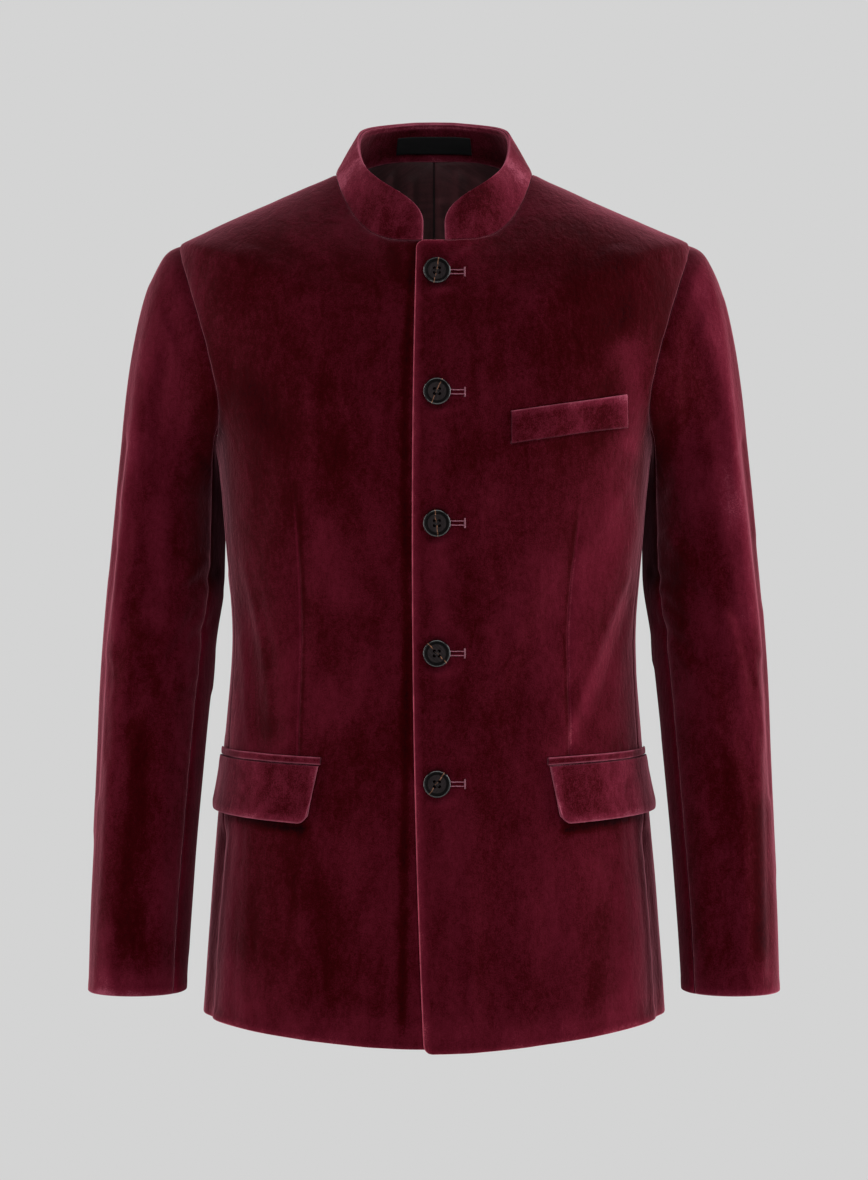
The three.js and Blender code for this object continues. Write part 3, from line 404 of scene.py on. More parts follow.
def fillet(radius, distance):
    """What a rounded corner takes off an edge at a distance from the corner's end."""
    share = np.clip(1 - distance / radius, 0, 1)
    return radius * (1 - np.sqrt(1 - share * share))


def unit(vectors):
    return vectors / np.maximum(np.linalg.norm(vectors, axis=-1, keepdims=True), 1e-9)


print("halfway between 10 and 20 with level ends:", float(hermite(10, 0, 20, 0, 0.5)))

# %% [markdown]
# ## The body's form
# Twelve rings go round the body from the hem up to the neckline. A ring is an oval whose corners
# can be fuller than an ellipse's, and its height may differ at the front, side and back, because
# the shoulders slope and the hem dips. Every piece of the body reads its shape from these rings.

# %% Rings round the body
NECK_HALF, SHOULDER_HALF, CHEST_HALF, WAIST_HALF, HEM_HALF = 86, 222, 190, 175.5, 201
FRONT_LENGTH, SIDE_LENGTH, BACK_LENGTH, SLEEVE_LENGTH = 744, 727, 738, 706
PIT_ROW, TIP_ROW, NECK_ROW, ROW_HEIGHT, TOP_ROW_HEIGHT = 6, 8, 11, 80, 36
RINGS = Sections("frontZ sideZ backZ half ahead behind square bowl level", [
    (-FRONT_LENGTH, -SIDE_LENGTH, -BACK_LENGTH, HEM_HALF, 131, 127, 2.4, 2.5, 2),
    (-655, -645, -652, HEM_HALF - 5, 128, 122, 2.4, 2.3, 2),
    (-568, -565, -567, HEM_HALF - 12, 123, 114, 2.4, 2, 2),
    (-485, -485, -485, WAIST_HALF + 5.5, 118, 104, 2.4, 2, 2),
    (-405, -405, -405, WAIST_HALF, 115, 98, 2.4, 2, 2),
    (-325, -325, -322, WAIST_HALF + 6, 119, 104, 2.4, 2, 2),
    (-240, -240, -235, CHEST_HALF, 124, 112, 2.35, 2, 2),
    (-196, -150, -174, SHOULDER_HALF + 2, 121, 113, 2.17, 2, 2),
    (-151, -60, -116, SHOULDER_HALF, 113, 106, 2.0, 2.4, 2.4),
    (-129, -49, -76, 200, 108, 99, 2.0, 2.6, 2.5),
    (-101, -27, -25, 151, 100, 87, 2.07, 3.0, 2.9),
    (-65, 2, 26, NECK_HALF, 88, 70, 2.1, 4, 4),
], [80, 80, 80, 80, 80, 80, 72, 76, 27, 55, 66])
RINGS.slopes[TIP_ROW, 1], RINGS.slopes[TIP_ROW, 3] = 0.4, -0.35  # the shoulder runs straight out to its tip


def ring_point(ring, angle):
    """A point on a ring; angle 0 is the centre front and 90 degrees the wearer's left."""
    sin, cos = np.sin(angle), np.cos(angle)
    side, front = np.abs(sin), cos > 0
    depth = np.where(front, ring["ahead"], ring["behind"])
    bulge = (side / ring["half"]) ** ring["square"] + (np.abs(cos) / depth) ** ring["square"]
    reach = bulge ** (-1 / ring["square"])
    end_z = np.where(front, ring["frontZ"], ring["backZ"])
    level = np.where(front, ring["bowl"], ring["level"])
    z = ring["sideZ"] + (1 - side**level) * (end_z - ring["sideZ"])
    return np.stack(np.broadcast_arrays(sin * reach, -cos * reach, z), -1)


def angle_at_x(ring, x):
    """The angle at which the front half of a ring has the given x."""
    share = (np.abs(x) / ring["half"]) ** ring["square"]
    return np.arctan2(x, ring["ahead"] * (1 - share) ** (1 / ring["square"]))


def surface_normal(surface, u, v, du=0.004, dv=0.01):
    across = surface(u + du, v) - surface(u - du, v)
    return unit(np.cross(across, surface(u, v + dv) - surface(u, v - dv)))


print("chest girth, mm:", round(2 * np.pi * 0.5 * (CHEST_HALF + 118)))

# %% [markdown]
# ## Folds
# A worn coat is never a smooth barrel. Each fold here is a line laid from one place to another,
# as an angle round the body and a row up it, with a width and a height; a height below zero is a
# trough. No two are alike, and real ones come in pairs, a ridge beside its hollow. The first table
# holds the big folds that the plain solids have too, the second the finer ones: drag lines to the
# buttons and pockets, strain under the arms, loose skirt and soft chest. The nap tables are laid
# the same way, but hold how far the colour is taken towards light or dark there: partly the pile
# brushed one way or another, partly painted shade under the arms, below the flaps, beside the
# overlap and over the chest, and painted highlights where folds, flanks and edges would catch the
# light.

# %% Fold tables for the body
BODY_DEGREE = 2.7  # mm round the body in one degree
BODY_FOLDS = [
    (72, 5.2, 40, 2.9, 15, 2.2), (55, 5.0, 30, 3.4, 16, -1.4), (77, 1.9, 77, 0.0, 9, -3.5),
    (-77, 1.9, -77, 0.0, 9, -4), (-60, 4.9, -52, 3.1, 16, 1.8), (-70, 4.3, -63, 3.0, 12, -1.6),
    (25, 2.0, 20, 0.0, 22, -1.6), (-33, 2.0, -30, 0.0, 22, -1.6), (48, 1.6, 50, 0.0, 20, 1.6),
    (-52, 1.6, -55, 0.0, 20, 1.4), (68, 7.0, 50, 6.2, 16, -2), (-68, 7.0, -50, 6.2, 16, -2),
    (118, 7.0, 130, 5.4, 18, -2.4), (-118, 7.0, -130, 5.4, 18, -2.4), (112, 4.8, 142, 3.9, 15, -2),
    (-112, 4.8, -145, 3.7, 15, -2), (140, 2.4, 138, 0.0, 20, -2.4), (-140, 2.4, -136, 0.0, 20, -2.4),
]
BODY_CREASES = [
    # front, wearer's left
    (70, 4.7, 47, 3.0, 6, 1.5), (74, 4.4, 54, 3.0, 7, -1.1), (66, 5.6, 52, 4.9, 8, 0.9),
    (60, 3.9, 57, 3.1, 8, 0.8), (38, 4.6, 27, 3.6, 9, 0.7), (30, 5.7, 20, 5.2, 10, -0.6),
    (58, 7.5, 66, 6.6, 9, -1.2), (64, 8.6, 70, 7.6, 8, 0.9), (42, 8.6, 36, 7.4, 16, 1.0),
    (62, 1.9, 64, 0.2, 7, 1.1), (70, 2.0, 71, 0.1, 5, -1.0), (39, 1.3, 37, 0.0, 10, -0.9),
    (12, 1.7, 14, 0.0, 9, 0.6), (9, 10.95, 19, 11.05, 2.6, 0.7), (8, 10.55, 20, 10.75, 3.5, 0.6),
    (14, 10.75, 24, 10.9, 3, -0.5), (26, 9.6, 38, 10.3, 9, 0.6),
    # front, wearer's right
    (-68, 4.8, -58, 3.3, 6, 1.3), (-63, 4.4, -55, 3.0, 5, -0.9), (-73, 4.0, -66, 3.0, 5, 1.0),
    (-56, 5.8, -62, 4.9, 9, -0.9), (-42, 4.5, -47, 3.4, 8, 0.7), (-59, 7.6, -67, 6.5, 9, -1.3),
    (-65, 8.6, -69, 7.5, 8, 0.8), (-40, 8.5, -37, 7.2, 17, 0.9), (-62, 2.0, -60, 0.1, 6, 1.0),
    (-70, 1.9, -72, 0.1, 5, -0.9), (-45, 1.5, -42, 0.0, 9, 0.8), (-22, 1.2, -18, 0.0, 10, -0.8),
    (-14, 3.0, -16, 1.9, 12, -0.6),
    # side panels and backs
    (92, 4.6, 96, 3.0, 7, 1.4), (99, 5.1, 90, 4.3, 6, -1.2), (88, 3.6, 93, 2.4, 7, -1.0),
    (-91, 4.7, -97, 3.1, 7, 1.3), (-98, 5.0, -90, 4.2, 6, -1.3), (-89, 2.9, -94, 1.2, 8, 0.9),
    (124, 5.2, 156, 4.4, 7, -1.5), (121, 4.3, 150, 3.9, 6, 1.2), (118, 4.0, 139, 3.5, 6, -1.0),
    (-122, 5.0, -151, 4.5, 7, -1.3), (-124, 4.4, -157, 3.8, 7, 1.4), (-117, 3.8, -136, 3.3, 5, -1.1),
    (126, 6.9, 147, 6.0, 9, 1.2), (-124, 7.0, -150, 5.9, 9, 1.1), (160, 8.2, 168, 7.0, 13, -0.9),
    (-158, 8.3, -170, 7.3, 13, -0.8), (165, 3.4, 168, 1.6, 11, 1.0), (-161, 3.1, -166, 1.3, 11, 0.9),
    (121, 2.6, 119, 0.2, 9, 1.3), (-124, 2.5, -120, 0.2, 9, 1.4), (152, 1.6, 154, 0.0, 10, 0.9),
]

BODY_NAP_AND_PAINTED_LIGHT = [
    # chest and shoulders painted darker; painted shadow on the under front beside the overlap, darkest
    (62, 9.6, 64, 6.4, 34, -0.5), (38, 9.8, 48, 6.2, 34, -0.2), (-60, 9.0, -60, 6.3, 32, -0.3),
    (-30, 9.6, -40, 5.6, 40, -0.25), (-11, 11, -11.5, 0.2, 5, -0.6), (22, 3.2, 20, 1.4, 18, -0.15),
    (6, 10.35, 20, 10.9, 2.2, 0.5), (-22, 10.9, -18, 10.1, 12, -0.4), (30, 9.6, 40, 8.4, 26, 0.2),
    # painted shade under the arms
    (80, 6.4, 86, 4.8, 13, -1.3), (-80, 6.4, -86, 4.8, 13, -1.3),
    # waist, wearer's right then left
    (-64, 3.9, -60, 3.1, 14, -0.4), (-37, 5.2, -37, 4.4, 14, 0.25), (-48, 4.2, -49, 3.8, 12, 0.25),
    (62, 5.4, 58, 4.5, 14, 0.3), (53, 4.9, 50, 3.6, 8, 0.4), (62, 7.0, 67, 6.1, 14, 0.8),
    (-76, 3.4, -74, 2.6, 8, 0.9), (70, 4.4, 48, 2.95, 8, 0.55), (43, 4.8, 44, 3.7, 12, 0.3),
    (-74, 6.9, -77, 5.2, 9, -0.9), (-45, 6.4, -42, 5.0, 15, 0.3), (74, 6.5, 77, 5.1, 6, -0.4),
    # down the centre
    (3, 4.9, 3, 4.0, 14, 0.25), (3, 3.2, 3, 2.8, 14, 0.25), (8, 2.1, 9, 0.9, 9, 0.2),
    # skirt
    (-58, 2.0, -57, 0.8, 15, -0.4), (-70, 2.1, -69, 0.2, 8, 0.5), (-48, 1.9, -47, 1.4, 14, -0.25),
    (-37, 1.7, -36, 0.6, 10, -0.1), (55, 1.1, 52, 0.4, 14, -0.35), (41, 1.7, 40, 0.9, 10, 0.2),
    (68, 2.1, 69, 0.3, 8, 0.4), (-66, 0.55, -62, 0.15, 14, 0.4), (64, 0.6, 60, 0.15, 16, 0.5),
    (-45, 0.12, 10, 0.15, 12, 0.3), (25, 0.12, 45, 0.1, 12, 0.45),
    # the soft shade below each flap
    (46, 2.06, 84, 2.2, 4.5, -1.1), (-46, 2.06, -84, 2.2, 4.5, -1.1),
    # back
    (150, 9.2, 154, 6.2, 40, -0.25), (-152, 8.8, -147, 5.2, 36, -0.3), (118, 7.2, 130, 5.4, 16, 0.35),
    (-117, 7.1, -128, 5.6, 15, 0.4), (140, 4.6, 158, 3.8, 12, 0.3), (-136, 4.5, -150, 4.0, 12, 0.3),
    (165, 3.0, 170, 0.8, 26, -0.2), (-164, 2.4, -160, 0.4, 22, 0.2), (128, 2.0, 126, 0.3, 14, 0.3),
]
SLEEVE_NAP_AND_PAINTED_LIGHT = {
    "left": [
        (52, 0.05, 48, 0.5, 15, 0.6), (36, 0.13, 33, 0.52, 12, 0.3), (68, 0.24, 66, 0.38, 12, 0.45),
        (118, 0.42, 120, 0.56, 14, -0.4), (100, 0.2, 98, 0.34, 12, 0.35), (90, 0.58, 85, 0.8, 16, -0.3),
        (52, 0.78, 55, 0.93, 16, -0.6), (128, 0.78, 126, 0.93, 12, -0.2), (40, 0.985, 140, 0.985, 12, 0.2),
        (120, 0.03, 118, 0.2, 16, -0.25), (166, 0.1, 166, 0.41, 26, -1.8), (-40, 0.3, -46, 0.8, 20, 0.3),
        (200, 0.6, 204, 0.9, 16, 0.25),
    ],
    "right": [
        (45, 0.28, 42, 0.52, 14, 0.5), (26, 0.36, 24, 0.6, 10, 0.4), (40, 0.03, 40, 0.3, 16, 0.3),
        (102, 0.28, 106, 0.4, 10, -0.25), (86, 0.36, 88, 0.5, 14, 0.35), (55, 0.93, 55, 1.0, 14, 0.45),
        (125, 0.2, 128, 0.42, 12, -0.35), (80, 0.66, 85, 0.92, 20, -0.4), (40, 0.985, 140, 0.985, 14, 0.5),
        (120, 0.03, 118, 0.2, 16, -0.35), (166, 0.1, 166, 0.41, 26, -1.8), (-42, 0.34, -38, 0.82, 22, 0.25),
        (206, 0.58, 200, 0.88, 16, 0.3),
    ],
}
COLLAR_NAP_AND_PAINTED_LIGHT = [
    (-74, 0.0, -66, 1.0, 10, 1.0), (-82, 0.3, -80, 1.0, 5, 0.7), (74, 0.1, 66, 0.95, 8, 0.9),
    (-22, 0.1, -30, 0.8, 14, -0.2), (-60, 0.1, -56, 0.9, 20, 0.5), (62, 0.1, 56, 0.9, 18, 0.5),
    (22, 0.1, 32, 0.8, 14, -0.25), (180, 0.1, 180, 0.9, 30, 0.5),
]


def fold_height(folds, angle, row, across, along):
    """Height of the folds at places given in degrees and rows; across turns degrees into mm, and
    along is the mm of one row or a function that gives the mm up to a row."""
    up = along if callable(along) else lambda value: value * along
    height = np.zeros(np.broadcast(angle, row).shape)
    up_row = up(row)
    for start, start_row, end, end_row, width, depth in folds:
        px = angle - start
        px = (px - 360 * np.round(px / 360)) * across
        py = up_row - up(start_row)
        dx, dy = (end - start) * across, up(end_row) - up(start_row)
        share = np.clip((px * dx + py * dy) / (dx * dx + dy * dy), 0, 1)
        height += depth * np.exp(-((px - dx * share) ** 2 + (py - dy * share) ** 2) / width**2)
    return height


def body_nap_and_painted_light(angle, row):
    return fold_height(BODY_NAP_AND_PAINTED_LIGHT, np.degrees(angle), row, BODY_DEGREE, RINGS.run)


print("body folds:", len(BODY_FOLDS), "large,", len(BODY_CREASES), "fine,", len(BODY_NAP_AND_PAINTED_LIGHT), "brushed")

# %% [markdown]
# Between the named folds the cloth still wavers a little. A sum of a few long waves in different
# directions gives a calm, uneven surface. It is worked out from the place in space, so pieces
# that meet at a seam move together.

# %% Calm unevenness and points on the body
WAVES = [
    ((0.031, 0.017, 0.012), 0.3, 0.30), ((-0.019, 0.026, 0.021), 1.9, 0.28),
    ((0.044, -0.02, 0.017), 4.1, 0.16), ((0.021, 0.05, -0.037), 2.6, 0.13),
    ((-0.062, 0.033, 0.029), 5.2, 0.09), ((0.081, 0.06, 0.045), 0.9, 0.06),
    ((-0.11, 0.05, 0.07), 3.3, 0.045), ((0.05, -0.13, 0.1), 1.2, 0.04),
]


def waver(points):
    return sum(size * np.sin(points @ np.array(wave) + start) for wave, start, size in WAVES)


def body_plain(angle, row):
    return ring_point(RINGS.at(row), angle)


def body_point(angle, row, lift=0.0):
    """A point on the folded cloth, or a little off it, as where one front lies on the other."""
    folded = fold_height(BODY_FOLDS + BODY_CREASES, np.degrees(angle), row, BODY_DEGREE, RINGS.run)
    plain = body_plain(angle, row)
    height = folded + waver(plain) + lift
    return plain + surface_normal(body_plain, angle, row) * height[..., None]


def on_body(angle, row, lift):
    """A point lifted off the folds themselves, as for a pocket flap or a button."""
    lift = np.asarray(lift, float)
    return body_point(angle, row) + surface_normal(body_point, angle, row) * lift[..., None]


def row_at_height(angle, z):
    row = np.clip(NECK_ROW + z / ROW_HEIGHT + 0 * angle, 0, NECK_ROW)
    for _ in range(30):
        here = body_plain(angle, row)[..., 2]
        row = np.clip(row + (z - here) / ROW_HEIGHT * 0.8, -0.1, NECK_ROW + 0.1)
    return row


def front_place(x, z):
    """The place on the front, an angle and a row, that has the given x and height."""
    x, z = np.broadcast_arrays(np.asarray(x, float), np.asarray(z, float))
    angle, row = np.zeros(x.shape), row_at_height(np.zeros(x.shape), z)
    for _ in range(8):
        angle = angle_at_x(RINGS.at(row), x)
        row = row_at_height(angle, z)
    return angle, row


print("centre front at the waist:", np.round(body_point(np.array(0.0), np.array(4.0)), 1), "mm")

# %% [markdown]
# ## Seams of the body
# The armhole is a loop round the side: it starts at the shoulder tip, goes down the front, under
# the arm and up the back. Below it the side panel's two seams run down to the hem, nipped in at
# the waist. The front edges cross the centre line, the wearer's left over the right.

# %% Armholes, side seams and front edges
RIGHT_ANGLE = np.pi / 2
ARMHOLE_FRONT, ARMHOLE_BACK = np.radians(20), np.radians(16.5)
FRONT_SEAM_END, BACK_SEAM_END = np.radians(160), np.radians(225)
WAIST_SHARE = 0.62  # of the way up a side seam
OVERLAP, OVERLAP_SWEEP, OVERLAP_PEAK_Z, OVERLAP_LIFT = 18.5, 10, -320, 1.45
EDGE_CORNER, OVER_HEM_DROP = 7, 2.7


def pair(angle, row):
    return np.stack(np.broadcast_arrays(np.asarray(angle, float), np.asarray(row, float)), -1)


def armhole(turn):
    side = np.sin(turn)
    scooped = np.sin(turn - 0.35 * side)
    front = -ARMHOLE_FRONT * np.maximum(scooped, 0) ** 1.28
    back = ARMHOLE_BACK * np.maximum(-side, 0) ** 1.4
    row = TIP_ROW - (TIP_ROW - PIT_ROW) * (1 - np.cos(turn)) / 2
    return pair(RIGHT_ANGLE + np.where(side > 0, front, back), row)


def side_seam(at_hem, at_waist, turn):
    top = armhole(turn)
    bend = (at_waist - mix(at_hem, top[0], WAIST_SHARE)) / (WAIST_SHARE * (1 - WAIST_SHARE))
    return lambda share: pair(mix(at_hem, top[0], share) + bend * share * (1 - share), top[1] * share)


front_seam = side_seam(np.radians(75.5), np.radians(78.5), FRONT_SEAM_END)
back_seam = side_seam(np.radians(106), np.radians(107), BACK_SEAM_END)


def front_edge(row):
    ring = RINGS.at(row)
    sweep = ((ring["frontZ"] - OVERLAP_PEAK_Z) / (FRONT_LENGTH + OVERLAP_PEAK_Z)) ** 2
    corner = fillet(EDGE_CORNER, row * ROW_HEIGHT) + fillet(EDGE_CORNER, (NECK_ROW - row) * TOP_ROW_HEIGHT)
    return angle_at_x(ring, -(OVERLAP - OVERLAP_SWEEP * sweep) + corner)


NECK_SHARE = 0.84
FRONT_JOINT = NECK_SHARE * armhole(FRONT_SEAM_END)[1] / NECK_ROW
BACK_JOINT = NECK_SHARE * armhole(BACK_SEAM_END)[1] / NECK_ROW
seam_tops = [armhole(end)[1] for end in (FRONT_SEAM_END, BACK_SEAM_END)]
print("side seams meet the armhole at rows", np.round(seam_tops, 2))

# %% [markdown]
# ## Flat patches laid on the form
# A cut piece has four edges. A patch fills the space between them with a grid, so that grid lines
# run along the seams, as the grain runs along a real piece. The grid is fine beside seams, darts
# and edges, where the cloth bends sharply, and open in between.

# %% Patches and grid spacing
def patch(bottom, top, left, right, s, t):
    """Places inside four edges, each running with s or t from 0 to 1."""
    across, up = s[None, :, None], t[:, None, None]
    sides = mix(left(t)[:, None, :], right(t)[:, None, :], across)
    ends = mix(bottom(s)[None], top(s)[None], up)
    zero, one = np.array([0.0]), np.array([1.0])
    low = mix(left(zero)[:, None, :], right(zero)[:, None, :], across)
    high = mix(left(one)[:, None, :], right(one)[:, None, :], across)
    return sides + ends - mix(low, high, up)


def stations(length, marks, pitch=3.7, finest=0.38):
    """Shares from 0 to 1 along a length, close together beside the marks, which are kept exactly."""
    x = np.linspace(0, length, 6000)
    near = np.min([np.abs(x - mark * length) for mark in marks], axis=0)
    count = np.concatenate([[0], np.cumsum(np.diff(x) / np.clip(finest + 0.4 * near[1:], finest, pitch))])
    places = np.interp(np.linspace(0, count[-1], int(np.ceil(count[-1])) + 1), count, x) / length
    for mark in marks:
        places[np.argmin(np.abs(places - mark))] = mark
    return places


def panel_edges(middle, seam, seam_end, joint, hem_drop=0.0):
    """The four edges of a front or back: up the middle and round the neck, up the side seam and
    round the armhole, along the hem, and along the shoulder."""
    full_turn = 2 * np.pi if seam_end > np.pi else 0
    foot = -hem_drop / ROW_HEIGHT

    def left(t):
        up = t / NECK_SHARE
        round_neck = mix(middle(np.array(float(NECK_ROW))), RIGHT_ANGLE, (t - NECK_SHARE) / (1 - NECK_SHARE))
        low = t < NECK_SHARE
        rows = np.where(low, mix(foot, NECK_ROW, up), NECK_ROW)
        return pair(np.where(low, middle(np.clip(NECK_ROW * up, 0, NECK_ROW)), round_neck), rows)

    def right(t):
        turn = mix(seam_end, full_turn, (t - joint) / (1 - joint))
        return np.where((t < joint)[:, None], seam(t / joint), armhole(turn))

    def bottom(s):
        return pair(mix(middle(np.array(0.0)), seam(np.array(0.0))[0], s), foot * (1 - s))

    def top(s):
        return pair(RIGHT_ANGLE, mix(NECK_ROW, TIP_ROW, s))

    return bottom, top, left, right


print("stations on a 100 mm edge:", len(stations(100, [0, 1])))

# %% [markdown]
# ## From a grid to a piece of cloth
# A piece of cloth is a thin closed wall. We take the grid of its outer face and, at every point,
# step in by the cloth's thickness. Where a piece ends in a seam its edge rolls down into the
# seam's groove, with the turned-in allowance lifting the cloth a little beside it, and stitching
# draws it into faint puckers. Where it ends in a free edge the cloth is folded round, so the edge
# is a half round. The distance to the nearest edge and seam is kept on the mesh as two
# attributes, which the velvet's wear, its painted edge highlight and its painted seam shade read;
# a third carries the nap and painted light. The hidden face is lined with satin, except for the
# turned-up band along free edges. Solidify could give a wall too, but not shaped edges.

# %% Meshes from grids
def make_mesh(name, points, faces, smooth=True):
    """A mesh from points in millimetres and faces of four corners."""
    mesh = bpy.data.meshes.new(name)
    mesh.vertices.add(len(points))
    mesh.vertices.foreach_set("co", (np.asarray(points) / 1000).astype(np.float32).ravel())
    mesh.loops.add(faces.size)
    mesh.loops.foreach_set("vertex_index", faces.astype(np.int32).ravel())
    mesh.polygons.add(len(faces))
    mesh.polygons.foreach_set("loop_start", np.arange(0, faces.size, faces.shape[1], dtype=np.int32))
    mesh.polygons.foreach_set("use_smooth", np.full(len(faces), smooth))
    mesh.update(calc_edges=True)
    piece = bpy.data.objects.new(name, mesh)
    scene.collection.objects.link(piece)
    return piece


def set_attribute(mesh, name, values):
    attribute = mesh.attributes.new(name, "FLOAT", "POINT")
    attribute.data.foreach_set("value", np.asarray(values, np.float32).ravel())


def set_uv(mesh, name, values):
    """A UV map from a pair of numbers for each point."""
    corner_points = np.empty(len(mesh.loops), np.int32)
    mesh.loops.foreach_get("vertex_index", corner_points)
    layer = mesh.uv_layers.new(name=name)
    layer.data.foreach_set("uv", np.asarray(values, np.float32)[corner_points].ravel())


def grid_normals(grid):
    across = np.gradient(grid, axis=1)
    return unit(np.cross(across, np.gradient(grid, axis=0)))


def walk(grid, axis):
    """Distance along the grid's lines from their start, and from their end."""
    step = np.linalg.norm(np.diff(grid, axis=axis), axis=-1)
    start = np.concatenate([np.zeros_like(np.take(step, [0], axis)), np.cumsum(step, axis)], axis)
    return start, np.take(start, [-1], axis) - start


print("mesh helpers ready")

# %% A wall of cloth with shaped edges
FAR = 1e4
SEAM_ROLL, SEAM_SOFTNESS, SEAM_LIFT, SEAM_GAP = 0.5, 0.9, 0.22, 0.05
HEM_BAND = 36  # depth of the velvet turned up inside a free edge


def edge_distances(grid, kinds):
    """Distance from every point to the nearest free edge, rolled seam and tucked-under seam."""
    from_left, from_right = walk(grid, 1)
    from_bottom, from_top = walk(grid, 0)
    found = {kind: np.full(grid.shape[:2], FAR) for kind in ("edge", "seam", "set")}
    distances = {"left": from_left, "right": from_right, "bottom": from_bottom, "top": from_top}
    for side, distance in distances.items():
        for kind, reach in kinds[side]:
            found[kind] = np.minimum(found[kind], np.where(reach, distance, FAR))
    return found["edge"], found["seam"], found["set"], from_left, from_bottom


FROM_SIDE = {
    "bottom": lambda grid: grid, "top": lambda grid: grid[::-1],
    "left": lambda grid: grid.swapaxes(0, 1), "right": lambda grid: grid.swapaxes(0, 1)[::-1],
}


def drawn_in(grid, kinds, gap):
    """The grid with its outermost points drawn in by half the gap between neighbours."""
    moved = grid.copy()
    for side, view in FROM_SIDE.items():
        if kinds[side][0][0] != "set":
            view(moved)[0] += unit(view(grid)[1] - view(grid)[0]) * gap / 2
    return moved


def cloth(
    name, grid, thick, kinds, velvet_material, lining=None,
    swell=0.0, gap=SEAM_GAP, pucker=0.16, tuck=None, nap=0.0,
):
    """A closed wall of cloth below the grid of its outer face; tuck deepens the wall at a seam, as a
    turned-in allowance does."""
    whole = {side: kinds.get(side, "seam") for side in ("left", "right", "bottom", "top")}
    reaches = {side: kind if isinstance(kind, list) else [(kind, True)] for side, kind in whole.items()}
    to_edge, to_seam, to_set, from_left, from_bottom = edge_distances(grid, reaches)
    normal = grid_normals(grid)
    half = thick / 2
    roll = SEAM_ROLL * min(1, thick / 2) * np.exp(-to_seam / SEAM_SOFTNESS)
    lift = SEAM_LIFT * np.exp(-(((to_seam - 5.5) / 3.6) ** 2))
    to_seam = np.minimum(to_seam, to_set)
    upward = np.sin(from_bottom / 4.1 + 2 * np.sin(from_bottom / 23))
    ripple = upward + np.sin(from_left / 4.7 + 1.3 * np.sin(from_left / 17))
    ripple = pucker * ripple * np.exp(-to_seam / 7)
    folded = swell * ease(12, 5, to_edge)
    round_off = (half - 0.08) * fillet(1, to_edge / (half + 0.3))
    base = drawn_in(grid, reaches, gap)
    outer = base + normal * (folded + lift + ripple - roll - round_off)[..., None]
    inner = base - normal * (thick - round_off - ripple * 0.5)[..., None]
    if tuck is not None:
        inner -= normal * (tuck * np.exp(-((to_seam / 0.9) ** 2)))[..., None]
    rows, columns = grid.shape[:2]
    number = np.arange(rows * columns).reshape(rows, columns)
    corners = [number[:-1, :-1], number[:-1, 1:], number[1:, 1:], number[1:, :-1]]
    quads = np.stack(corners, -1).reshape(-1, 4)
    ring = np.concatenate([number[0, :-1], number[:-1, -1], number[-1, :0:-1], number[:0:-1, 0]])
    after = np.roll(ring, -1)
    rim = np.stack([after, ring, ring + rows * columns, after + rows * columns], -1)
    faces = np.concatenate([quads, quads[:, ::-1] + rows * columns, rim])
    points = np.concatenate([outer.reshape(-1, 3), inner.reshape(-1, 3)])
    a, b, c, d = (points[faces[:, k]] for k in range(4))
    if np.einsum("ij,ij->i", a, np.cross(b, c) + np.cross(c, d)).sum() < 0:
        faces = faces[:, ::-1]
    piece = make_mesh(name, points, faces)
    mesh = piece.data
    set_attribute(mesh, "to_edge", np.concatenate([to_edge.ravel()] * 2))
    set_attribute(mesh, "to_seam", np.concatenate([to_seam.ravel()] * 2))
    cut = np.stack([from_left.ravel(), from_bottom.ravel()], -1) / 1000
    set_uv(mesh, "cut", np.concatenate([cut, cut]))
    mesh.materials.append(velvet_material)
    if lining:
        mesh.materials.append(lining)
        inside = to_edge.ravel()[quads].min(1) > HEM_BAND
        slots = np.concatenate([np.zeros(len(quads)), inside, np.zeros(len(rim))]).astype(np.int32)
        mesh.polygons.foreach_set("material_index", slots)
    stitched = np.isclose(to_seam.ravel()[rim % (rows * columns)].max(1), 0)
    mesh.polygons.foreach_set("use_smooth", np.concatenate([np.ones(2 * len(quads), bool), ~stitched]))
    set_attribute(mesh, "nap", np.concatenate([np.broadcast_to(nap, (rows, columns)).ravel()] * 2))
    return piece


PIECES = {}  # every finished piece, with the solids it stands for, its slot and its cloth facts


def keep(piece, nodes, slot, **cloth_facts):
    PIECES[piece.name] = (piece, nodes, slot, cloth_facts)


# %% [markdown]
# ## Fronts, backs and side panels
# Each front is one panel from the front edge to the side seam. Its shaping is a dart: a fold
# sewn out from under the chest to the pocket, seen as a fine line with the cloth falling away on
# both sides. Where the fronts overlap, the wearer's left one lies on top. A front edge is a fold
# of velvet over its facing, so it swells a little and is rounder than a raw cut.

# %% The dart and the overlap
VELVET_THICK, ALLOWANCE = 2, 3.0
FRONT_WIDTH, FRONT_RUN, SIDE_WIDTH, SIDE_RUN, BACK_WIDTH, BACK_RUN = 265, 860, 100, 560, 250, 900
DART_COLUMN, DART_TOP, DART_FOOT, DART_LEAN = 0.665, 0.44, 0.2, np.radians(2.8)
BUTTON_X, BUTTON_HEIGHTS = 2.4, (-93.5, -196, -305, -414, -523)


def dart_depth(s, t):
    along = ease(DART_TOP, DART_TOP - 0.1, t) * ease(DART_FOOT - 0.004, DART_FOOT + 0.01, t)
    from_line = np.abs(s - DART_COLUMN) * FRONT_WIDTH
    return along * (1.0 * np.clip(1 - from_line / 9, 0, 1) ** 1.5 + 0.55 * np.exp(-((from_line / 0.8) ** 2)))


